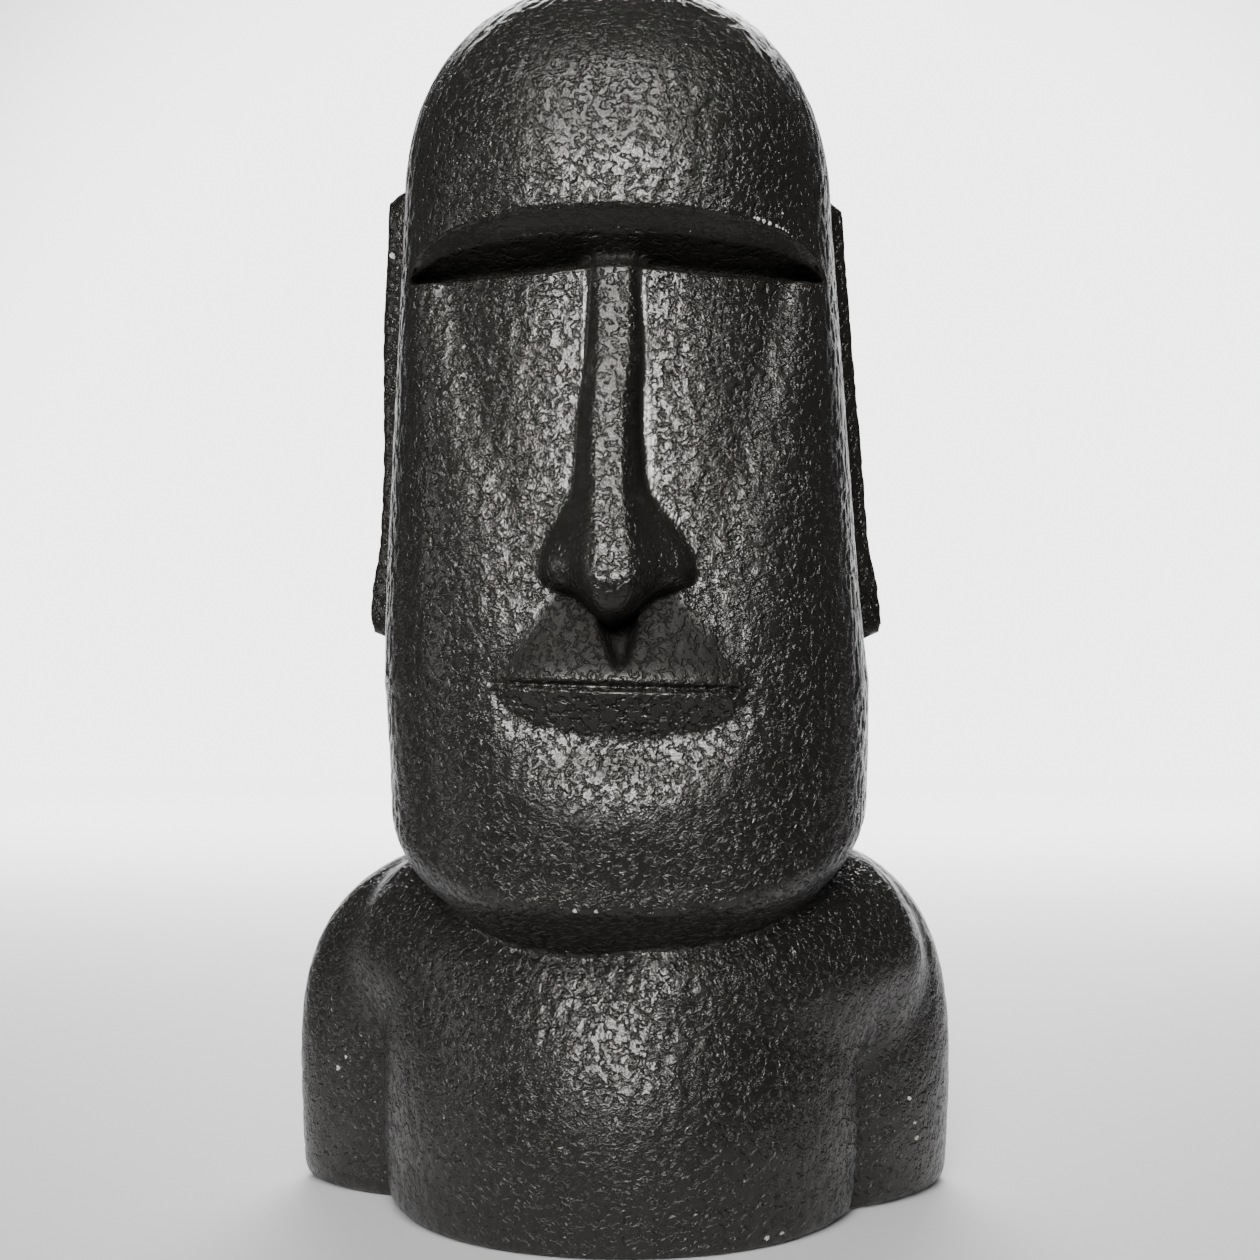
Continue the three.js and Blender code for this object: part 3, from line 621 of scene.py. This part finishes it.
def crease_z(angle):
    """Height where the underside of the head meets the torso, found by halving."""
    low = np.full_like(angle, CHEST_Z)
    high = np.full_like(angle, JAW_EDGE_Z + JAW_ROUND)
    for _ in range(CREASE_HALVINGS):
        middle = (low + high) / 2.0
        inside = head_radius(angle, middle, 1.0) < torso_radius(angle, middle)
        low = np.where(inside, middle, low)
        high = np.where(inside, high, middle)
    return low


def row_lines(angle):
    """Heights that the rows follow around the figure, each with the rows up to it."""
    in_front = np.sin(angle) < 0
    x = head_radius(angle, LEDGE_Z, 1.0) * np.where(in_front, np.cos(angle), 1.0)
    crease = crease_z(angle)
    edge_z, soft = chin_edge(angle)
    mouth = MOUTH_Z - np.where(in_front, MOUTH_TILT * x, 0.0)
    under = nose_under_z(np.abs(x))
    brow = brow_z(x)
    ledge = np.minimum(ledge_z(x), brow - 5.0)
    # margins of a few millimetres put rows on both sides of an edge, and keep the lines in order
    return [
        (0.0 * x, 0), (foot_round(angle), 4), (CHEST_Z + 0.0 * x, 14), (COLLAR_Z + 0.0 * x, 17),
        (crease - 4.0, 16), (crease + 2.0, 4), (np.maximum(edge_z - soft, crease + 4.0), 7),
        (edge_z + soft, 10), (MOUTH_Z - LOWER_LIP_HEIGHT + 0.0 * x, 20),
        (mouth - 4.0, 9), (mouth + 4.0, 8), (under - 3.0, 9), (under + 8.0, 9),
        (under + NOSE_UNDER_HEIGHT[0] + 4.0, 9), (np.minimum(ledge, brow - 10.0) - 1.0, 44),
        (np.minimum(ledge + LEDGE_EDGE, brow - 6.0), 6), ((ledge + brow) / 2.0, 6),
        (brow + 3.0, 14), (brow + 12.0, 5), (DOME_Z + 0.0 * x, 12),
    ]


def grid_levels(angle):
    """Heights and closings of every row, column by column: the lines first, then the skull."""
    lines = row_lines(angle)
    heights = [lines[0][0]]
    for (start, _), (end, rows) in zip(lines, lines[1:]):
        heights += [mix(start, end, (row + 1) / rows) for row in range(rows)]
    z = np.stack(heights)
    turn = (QUARTER_TURN * np.arange(1, SKULL_ROWS) / SKULL_ROWS)[:, None] + 0.0 * angle
    skull_z = DOME_Z + (CROWN_Z - DOME_Z) * np.sin(turn) ** (2.0 / DOME_POWER)
    closing = np.cos(turn) ** (2.0 / DOME_POWER)
    return np.vstack([z, skull_z]), np.vstack([np.ones_like(z), closing])


def column_angles():
    """Angles around, closer together in front and where walls run out from the axis."""
    samples = np.linspace(0.0, 4.0 * QUARTER_TURN, ANGLE_SAMPLES)
    z, closing = grid_levels(np.full_like(samples, -QUARTER_TURN))
    steps = np.linalg.norm(np.diff(skin(samples[None, :], z, closing), axis=1), axis=-1).mean(axis=0)
    middle = (samples[1:] + samples[:-1]) / 2.0
    weight = steps * mix(1.0, FRONT_DENSITY, ease(-np.sin(middle) * FRONT_CHANGE))
    passed = np.concatenate([[0.0], np.cumsum(weight)])
    return np.interp(np.arange(COLUMNS) / COLUMNS * passed[-1], passed, samples)


def closed_grid_faces(rows, columns):
    """Quads of a grid closed around, with a fan at the foot (first point) and at the crown (last)."""
    row, column = np.meshgrid(np.arange(rows - 1), np.arange(columns), indexing="ij")
    after = (column + 1) % columns
    quads = np.stack([
        1 + row * columns + column, 1 + row * columns + after,
        1 + (row + 1) * columns + after, 1 + (row + 1) * columns + column,
    ], axis=-1).reshape(-1, 4)
    ring = np.arange(columns)
    ring_after = (ring + 1) % columns
    top = 1 + (rows - 1) * columns
    foot = np.stack([np.zeros_like(ring), 1 + ring_after, 1 + ring], axis=-1)
    crown = np.stack([top + ring, top + ring_after, np.full_like(ring, 1 + rows * columns)], axis=-1)
    return quads, np.vstack([foot, crown])


def waves(points, size, count, seed):
    """Smooth field of about unit height: plane waves in scattered directions, added up."""
    scatter = np.random.default_rng(seed)
    direction = scatter.normal(size=(count, 3))
    lengths = scatter.uniform(*WAVE_SPREAD, count)
    direction *= (lengths / np.linalg.norm(direction, axis=1))[:, None]
    phase = scatter.uniform(0.0, 4.0 * QUARTER_TURN, count)
    total = sum(np.sin(points @ (d * 4.0 * QUARTER_TURN / size) + p) for d, p in zip(direction, phase))
    return total * np.sqrt(2.0 / count)


def face_place(points):
    """Places on the face before it leans: across, height, and a share that is 1 in front."""
    x = points[..., 0] + lean_at(points[..., 2])
    return x, points[..., 2], ease(-points[..., 1] / FACE_BEGIN_Y)


def smooth_share(points):
    """Where the surface was left smooth: nose walls, underside of the nose, edge under the brow."""
    x, z, front = face_place(points)
    side = np.abs(x)
    _, winged, _, wall_end = nose_lines(z)
    on_nose = between(z - nose_under_z(side), EDGE_BLEND) * between(z - RIDGE_TOP_Z, ROOT_SMOOTH_END)
    walls = between(side, WALL_SMOOTH_X) * between(side - wall_end, WALL_SMOOTH_END)
    walls = walls * mix(1.0, WING_SMOOTHNESS, winged)
    under = between(side - wall_end, UNDER_SMOOTH_END) * between(z, UNDER_SMOOTH_Z)
    down = under_brow(x, z)
    strip = ease(down / STRIP_BEGIN) * between(down - BROW_CHAMFER_SHARE, STRIP_END) * (z > ledge_z(x))
    return front * np.maximum(np.maximum(walls, under) * on_nose, strip * (side < FACE_HALF_WIDTH))


def recess_shade_share(points):
    """Painted shade, with duller paint: reflection turned down and roughness raised in the ceilings of
    the sockets, the root of the nose, the notch over the lip, and in part the upper lip in the nose's
    shade."""
    x, z, front = face_place(points)
    side = np.abs(x)
    beside = between(side, ROOT_HALF_WIDTH)
    ceiling = between(z - ledge_z(x), EDGE_BLEND) * beside * (side < FACE_HALF_WIDTH)
    ceiling = ceiling * between(under_brow(x, z) - BROW_CHAMFER_SHARE, CEILING_BEGIN)
    root = between(z - RIDGE_TOP_Z, ROOT_BEGIN) * between(z - brow_z(x), ROOT_END)
    root = ROOT_DULL_SHADE * root * (1.0 - beside)
    notch = ease(lip_hollow(x, z) / NOTCH_FULL_DEPTH) * (z < NOSE_TIP_Z + NOTCH_OVERRUN)
    up = (z - mouth_z(x)) / (UPPER_LIP_TOP_Z - MOUTH_Z)
    tent = ease((upper_lip_half_width(up) - side) / TENT_EDGE) * ease(up / TENT_BEGIN)
    tent = tent * (z < nose_under_z(side) + TENT_OVERRUN)
    return front * np.maximum(np.maximum(ceiling, root), np.maximum(notch, TENT_DULL_SHADE * tent))


def hammered(points, smooth, pit_depth, swell_height):
    """Relief along the normals: flat flakes with irregular pits between them, over slow swells.

    The pits are the low parts of a sum of plane waves, cut off flat above."""
    drawn = points * [1.0, 1.0, PIT_STRETCH]
    coarse, fine = (waves(drawn, size, PIT_WAVES, seed) for size, seed in zip(PIT_SIZE, PIT_SEEDS))
    pits = 1.0 - between(coarse + PIT_SHARE * fine, PIT_LEVELS)
    swell = waves(points, SWELL_SIZE, SWELL_WAVES, SWELL_SEED)
    return (swell_height * swell - pit_depth * pits) * mix(1.0, SMOOTH_RELIEF, smooth)


def grid_normals(points):
    """Outward unit normals of a grid closed around: steps up and around, crossed."""
    around = np.roll(points, -1, axis=1) - np.roll(points, 1, axis=1)
    up = np.gradient(points, axis=0)
    normal = np.cross(around, up)
    return normal / np.maximum(np.linalg.norm(normal, axis=-1, keepdims=True), LEAST_NORMAL)


def figure_mesh(name, pit_depth, swell_height):
    """Mesh of the whole figure: the skin, moved along its normals by the hammered relief."""
    angle = column_angles()
    z, closing = grid_levels(angle)
    points = skin(angle[None, :], z, closing)
    smooth = smooth_share(points)
    recess = recess_shade_share(points)
    relief = hammered(points, smooth, pit_depth, swell_height)
    relief *= ease(z / FOOT_PLAIN_Z) * ease(closing / CROWN_PLAIN)
    points = points + relief[..., None] * grid_normals(points)
    rows, columns = z.shape
    vertices = np.vstack([
        [[0.0, 0.0, 0.0]], points.reshape(-1, 3), [[-HEAD_LEAN, 0.0, CROWN_Z]],
    ])
    middle = (vertices.min(axis=0) + vertices.max(axis=0)) / 2.0
    vertices -= [middle[0], middle[1], 0.0]
    quads, fans = closed_grid_faces(rows, columns)
    mesh = bpy.data.meshes.new(name)
    mesh.from_pydata((vertices * MM).tolist(), [], quads.tolist() + fans.tolist())
    mesh.shade_smooth()
    for share, values in (("smooth_share", smooth), ("recess_shade_share", recess)):
        layer = mesh.attributes.new(share, "FLOAT", "POINT")
        layer.data.foreach_set("value", np.concatenate([[0.0], values.ravel(), [0.0]]))
    mesh.update()
    return mesh


# ---------------------------------------------------------------- materials

def link(tree, source, target):
    """Feed a socket, or set it directly when the source is a plain value."""
    if isinstance(source, bpy.types.NodeSocket):
        tree.links.new(source, target)
    else:
        target.default_value = source


def add(tree, kind, inputs, **settings):
    node = tree.nodes.new(kind)
    for key, value in settings.items():
        setattr(node, key, value)
    for key, value in inputs.items():
        link(tree, value, node.inputs[key])
    return node


def maths(tree, operation, *values):
    return add(tree, "ShaderNodeMath", dict(enumerate(values)), operation=operation).outputs[0]


def rise(tree, value, ends, curve="SMOOTHSTEP"):
    """Rise from 0 at the first of two ends to 1 at the second."""
    inputs = {"Value": value, "From Min": ends[0], "From Max": ends[1]}
    return add(tree, "ShaderNodeMapRange", inputs, interpolation_type=curve).outputs["Result"]


def noise(tree, place, scale, detail, **inputs):
    given = {"Vector": place, "Scale": scale, "Detail": detail, **inputs}
    return add(tree, "ShaderNodeTexNoise", given).outputs["Fac"]


def blend(tree, factor, first, second):
    """Colour between two, each a socket or a plain colour."""
    mixed = add(tree, "ShaderNodeMix", {"Factor": factor}, data_type="RGBA")
    link(tree, first, mixed.inputs["A"])
    link(tree, second, mixed.inputs["B"])
    return mixed.outputs["Result"]


def opaque(colour, share=1.0):
    return (*[value * share for value in colour], 1.0)


def new_material(name):
    """Material with its node tree and its shader."""
    material = bpy.data.materials.new(name)
    material.use_nodes = True
    return material, material.node_tree, material.node_tree.nodes["Principled BSDF"]


def new_group(name, inputs, outputs):
    """Empty node group; inputs and outputs are (name, socket type) pairs."""
    group = bpy.data.node_groups.new(name, "ShaderNodeTree")
    for socket, kind in inputs:
        group.interface.new_socket(socket, in_out="INPUT", socket_type=kind)
    for socket, kind in outputs:
        group.interface.new_socket(socket, in_out="OUTPUT", socket_type=kind)
    return group, group.nodes.new("NodeGroupInput"), group.nodes.new("NodeGroupOutput")


def hammer_group():
    """Height of the fine hammered finish: flat flakes and irregular pits, from object coordinates."""
    group, given, result = new_group(
        "hammer_marks", [("Size", "NodeSocketFloat"), ("Smooth", "NodeSocketFloat")],
        [("Height", "NodeSocketFloat")],
    )
    place = add(group, "ShaderNodeTexCoord", {}).outputs["Object"]
    scale = maths(group, "DIVIDE", 1.0, given.outputs["Size"])
    field = noise(group, place, scale, MARK_DETAIL, Roughness=MARK_ROUGHNESS, Distortion=MARK_DISTORTION)
    grain = noise(group, place, maths(group, "MULTIPLY", scale, GRAIN_FINENESS), FINE_DETAIL)
    flakes = maths(group, "MULTIPLY", rise(group, field, FLAKE_LEVELS), FLAKE_SHARE)
    marks = maths(group, "ADD", flakes, maths(group, "MULTIPLY", grain, GRAIN_SHARE))
    lost = maths(group, "MULTIPLY", given.outputs["Smooth"], SMOOTH_MARKS)
    kept = maths(group, "SUBTRACT", 1.0, lost)
    link(group, maths(group, "MULTIPLY", marks, kept), result.inputs["Height"])
    return group


def worn_brow():
    """Specks along the edge of the brow, as places and radii."""
    x = np.arange(*WORN_BROW_X, WORN_BROW_STEP)
    y = -BROW_FRONT * super_arc(x / TEMPLE_HALF_WIDTH, HEAD_POWER)
    radius = WORN_BROW_RADIUS * (1.0 + WORN_BROW_VARIATION * np.sin(WORN_BROW_WAVE * x))
    return np.stack([x, y, brow_z(x) + WORN_BROW_LIFT, radius], axis=-1).tolist()


def chip_group():
    """Mask of the small paint chips: ragged spots around named places on the figure."""
    group, _, result = new_group("paint_chips", [], [("Mask", "NodeSocketFloat")])
    place = add(group, "ShaderNodeTexCoord", {}).outputs["Object"]
    ragged = noise(group, place, CHIP_RAGGEDNESS, FINE_DETAIL)
    # a chip reaches deeper into the cast than across it, so that it always meets the surface
    squeeze = (1.0, 1.0 / CHIP_DEPTH, 1.0)
    drawn = add(group, "ShaderNodeVectorMath", {0: place, 1: squeeze}, operation="MULTIPLY").outputs[0]
    mask = 0.0
    for x, y, z, radius in [*PAINT_CHIPS, *worn_brow()]:
        centre = ((x + AXIS_X) * MM, (y + AXIS_Y) * MM / CHIP_DEPTH, z * MM)
        away = add(group, "ShaderNodeVectorMath", {0: drawn, 1: centre}, operation="DISTANCE")
        reach = maths(group, "MULTIPLY", ragged, 2.0 * radius * MM)
        mask = maths(group, "MAXIMUM", mask, maths(group, "LESS_THAN", away.outputs["Value"], reach))
    link(group, mask, result.inputs["Mask"])
    return group


def paint_material(finish):
    """Black paint over the hammered cast, duller in the recesses and darkened there as painted shade,
    with pale chips.
    """
    material, tree, shader = new_material("black_paint")
    smooth = add(tree, "ShaderNodeAttribute", {}, attribute_name="smooth_share").outputs["Fac"]
    shaded_recess = add(tree, "ShaderNodeAttribute", {}, attribute_name="recess_shade_share").outputs["Fac"]
    marks = add(tree, "ShaderNodeGroup", {}, node_tree=hammer_group())
    link(tree, finish.mark_size, marks.inputs["Size"])
    link(tree, smooth, marks.inputs["Smooth"])
    height = {"Height": marks.outputs["Height"], "Distance": finish.mark_depth, "Strength": 1.0}
    link(tree, add(tree, "ShaderNodeBump", height).outputs["Normal"], shader.inputs["Normal"])
    chips = add(tree, "ShaderNodeGroup", {}, node_tree=chip_group()).outputs["Mask"]
    colour = blend(tree, chips, opaque(finish.paint_colour), opaque(finish.chip_colour))
    link(tree, colour, shader.inputs["Base Color"])
    duller = maths(tree, "MULTIPLY", maths(tree, "MAXIMUM", shaded_recess, chips), RECESS_ROUGHNESS)
    link(tree, maths(tree, "ADD", finish.gloss_roughness, duller), shader.inputs["Roughness"])
    # the recesses reflect less: painted shade
    painted_shade = maths(tree, "MULTIPLY", shaded_recess, RECESS_SHADE)
    link(tree, maths(tree, "SUBTRACT", FULL_REFLECTION, painted_shade), shader.inputs["Specular IOR Level"])
    link(tree, opaque(REFLECTION_TINT), shader.inputs["Specular Tint"])
    return material


def paper_material(colour):
    """Matt studio paper, faintly mottled, on a floor darkened as painted shade: the paper ends in front
    of the figure, widens behind it, and there fades into the white air."""
    material, tree, shader = new_material("studio_paper")
    place = add(tree, "ShaderNodeTexCoord", {}).outputs["Object"]
    parts = add(tree, "ShaderNodeSeparateXYZ", {0: place}).outputs
    mottle = noise(tree, place, MOTTLE_SCALE, FINE_DETAIL)
    paper = blend(tree, mottle, opaque(colour), opaque(colour, MOTTLE_SHARE))
    front = rise(tree, parts["Y"], PAPER_EDGE, "LINEAR")
    half_width = maths(tree, "MULTIPLY_ADD", parts["Y"], PAPER_SPREAD, PAPER_HALF_WIDTH)
    past = maths(tree, "SUBTRACT", maths(tree, "ABSOLUTE", parts["X"]), half_width)
    shaded_floor = maths(tree, "MAXIMUM", front, rise(tree, past, (0.0, PAPER_SIDE_BLEND), "LINEAR"))
    # the floor around the paper is darkened as painted shade
    floor = blend(tree, shaded_floor, paper, opaque(colour, SHADED_FLOOR_SHARE))
    link(tree, floor, shader.inputs["Base Color"])
    link(tree, rise(tree, parts["Y"], PAPER_FADE), shader.inputs["Alpha"])
    link(tree, PAPER_ROUGHNESS, shader.inputs["Roughness"])
    return material


def studio_world(wall_strength):
    """A white wall of air behind the figure, and dim air elsewhere."""
    world = bpy.data.worlds.new("studio_air")
    world.use_nodes = True
    tree = world.node_tree
    shade = tree.nodes["Background"]
    direction = add(tree, "ShaderNodeTexCoord", {}).outputs["Generated"]
    parts = add(tree, "ShaderNodeSeparateXYZ", {0: direction}).outputs
    seen = maths(tree, "MULTIPLY", rise(tree, parts["Y"], WALL_Y), rise(tree, parts["Z"], WALL_Z))
    wall = maths(tree, "MULTIPLY", seen, wall_strength)
    link(tree, opaque((1.0, 1.0, 1.0)), shade.inputs["Color"])
    link(tree, maths(tree, "ADD", wall, AIR_STRENGTH), shade.inputs["Strength"])
    return world


# ---------------------------------------------------------------- settings

class MoaiFinish(PropertyGroup):
    """Relief and paint of the cast figure"""

    pit_depth: FloatProperty(
        name="Pit depth", description="Depth of the larger pits, which are in the mesh",
        default=0.0005, min=0.0, max=0.003, precision=4, unit="LENGTH")
    swell_height: FloatProperty(
        name="Swell", description="Height of the slow unevenness of the hand-made surface",
        default=0.00008, min=0.0, max=0.001, precision=5, unit="LENGTH")
    mark_size: FloatProperty(
        name="Mark size", description="Width of the fine hammer marks",
        default=0.004, min=0.001, max=0.02, precision=4, unit="LENGTH")
    mark_depth: FloatProperty(
        name="Mark depth", description="Depth of the fine hammer marks",
        default=0.0011, min=0.0, max=0.005, precision=4, unit="LENGTH")
    paint_colour: FloatVectorProperty(
        name="Paint", description="Colour of the black paint", subtype="COLOR", size=3,
        default=(0.0066, 0.0060, 0.0051), min=0.0, max=1.0)
    chip_colour: FloatVectorProperty(
        name="Chips", description="Colour of the cast where the paint has chipped off", subtype="COLOR",
        size=3, default=(0.42, 0.40, 0.37), min=0.0, max=1.0)
    gloss_roughness: FloatProperty(
        name="Roughness", description="Roughness of the paint outside the recesses",
        default=0.27, min=0.05, max=1.0, subtype="FACTOR")


class MoaiStudio(PropertyGroup):
    """Floor, light and camera around the figure"""

    floor_colour: FloatVectorProperty(
        name="Floor", description="Colour of the studio paper", subtype="COLOR", size=3,
        default=(0.55, 0.55, 0.55), min=0.0, max=1.0)
    key_power: FloatProperty(
        name="Key light", description="Power of the box light before the figure",
        default=5.0, min=0.0, max=100.0, unit="POWER")
    wall_strength: FloatProperty(
        name="Wall", description="Brightness of the white wall behind the figure",
        default=4.0, min=0.0, max=20.0)
    lens: FloatProperty(
        name="Lens", description="Focal length of the camera", default=61.5, min=20.0, max=300.0,
        unit="CAMERA")


# ---------------------------------------------------------------- operators

class MOAI_OT_figure(Operator):
    """Build the cast figure with its relief and its paint"""

    bl_idname = "moai.figure"
    bl_label = "Cast figure"

    def execute(self, context):
        finish = context.scene.moai_finish
        mesh = figure_mesh("moai_cast", finish.pit_depth / MM, finish.swell_height / MM)
        figure = bpy.data.objects.new("moai_cast", mesh)
        context.scene.collection.objects.link(figure)
        mesh.materials.append(paint_material(finish))
        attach(figure, "root")
        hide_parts("moai_bust")
        return {"FINISHED"}


class MOAI_OT_stage(Operator):
    """Set up the pale floor, the soft studio light and the camera"""

    bl_idname = "moai.stage"
    bl_label = "Studio"

    def execute(self, context):
        studio = context.scene.moai_studio
        self.add_floor(context.scene, studio)
        context.scene.world = studio_world(studio.wall_strength)
        self.add_lights(context.scene, studio)
        self.add_camera(context.scene, studio)
        return {"FINISHED"}

    def add_floor(self, scene, studio):
        west, south, east, north = FLOOR_EDGES
        corners = [(west, south, 0), (east, south, 0), (east, north, 0), (west, north, 0)]
        mesh = bpy.data.meshes.new("studio_floor")
        mesh.from_pydata(corners, [], [(0, 1, 2, 3)])
        mesh.materials.append(paper_material(studio.floor_colour))
        floor = bpy.data.objects.new("studio_floor", mesh)
        scene.collection.objects.link(floor)

    def add_lights(self, scene, studio):
        middle = Vector((0.0, 0.0, CAD_BOX[1][2] / 2.0))
        far_floor = Vector((0.0, FAR_FLOOR_Y, 0.0))
        # name, place, width, height, power, spread in degrees, aim
        for name, place, width, height, power, spread, aim in (
            ("key_box", (-0.12, -1.9, 0.97), 0.7, 0.55, studio.key_power, 40.0, middle),
            ("fill_box", (-0.12, -1.5, 1.7), 0.5, 0.5, 0.7, 35.0, middle),
            ("top_box", (-0.05, -0.9, 2.2), 0.7, 0.7, 3.2, 60.0, middle),
            ("left_strip", (-1.9, -0.45, 0.55), 0.3, 1.3, 0.8, 60.0, middle),
            ("floor_box", (0.0, 4.6, 2.4), 5.0, 2.4, 330.0, 60.0, far_floor),
        ):
            light = bpy.data.lights.new(name, "AREA")
            light.shape = "RECTANGLE"
            light.size = width
            light.size_y = height
            light.energy = power
            light.spread = np.radians(spread)
            lamp = bpy.data.objects.new(name, light)
            lamp.location = place
            lamp.rotation_euler = (aim - lamp.location).to_track_quat("-Z", "Y").to_euler()
            scene.collection.objects.link(lamp)

    def add_camera(self, scene, studio):
        camera = bpy.data.cameras.new("studio_camera")
        camera.sensor_width = SENSOR_WIDTH
        camera.lens = studio.lens
        eye = bpy.data.objects.new("studio_camera", camera)
        axis = Vector((AXIS_X, AXIS_Y, 0.0)) * MM
        turn = np.radians(CAMERA_TURN)
        out = Vector((np.sin(turn), -np.cos(turn), 0.0)) * CAMERA_DISTANCE
        eye.location = axis + out + Vector((0.0, 0.0, CAMERA_HEIGHT))
        target = axis + Vector((CAMERA_AIM_X, 0.0, CAMERA_AIM_HEIGHT))
        eye.rotation_euler = (target - eye.location).to_track_quat("-Z", "Y").to_euler()
        scene.collection.objects.link(eye)
        scene.camera = eye


# ---------------------------------------------------------------- panel and registration

class MOAI_PT_panel(Panel):
    """Lists the settings and the steps that build the figure"""

    bl_idname = "MOAI_PT_panel"
    bl_label = "Garden moai"
    bl_space_type = "VIEW_3D"
    bl_region_type = "UI"
    bl_category = "Moai"

    def draw(self, context):
        for settings, operator in (
            (context.scene.moai_finish, MOAI_OT_figure),
            (context.scene.moai_studio, MOAI_OT_stage),
        ):
            box = self.layout.box()
            for name in settings.__annotations__:
                box.prop(settings, name)
            box.operator(operator.bl_idname)


CLASSES = (MoaiFinish, MoaiStudio, MOAI_OT_figure, MOAI_OT_stage, MOAI_PT_panel)


def register():
    for entry in CLASSES:
        bpy.utils.register_class(entry)
    bpy.types.Scene.moai_finish = PointerProperty(type=MoaiFinish)
    bpy.types.Scene.moai_studio = PointerProperty(type=MoaiStudio)


def unregister():
    del bpy.types.Scene.moai_studio
    del bpy.types.Scene.moai_finish
    for entry in reversed(CLASSES):
        bpy.utils.unregister_class(entry)


def main():
    register()
    bpy.ops.moai.figure()
    bpy.ops.moai.stage()


if __name__ == "__main__":
    main()
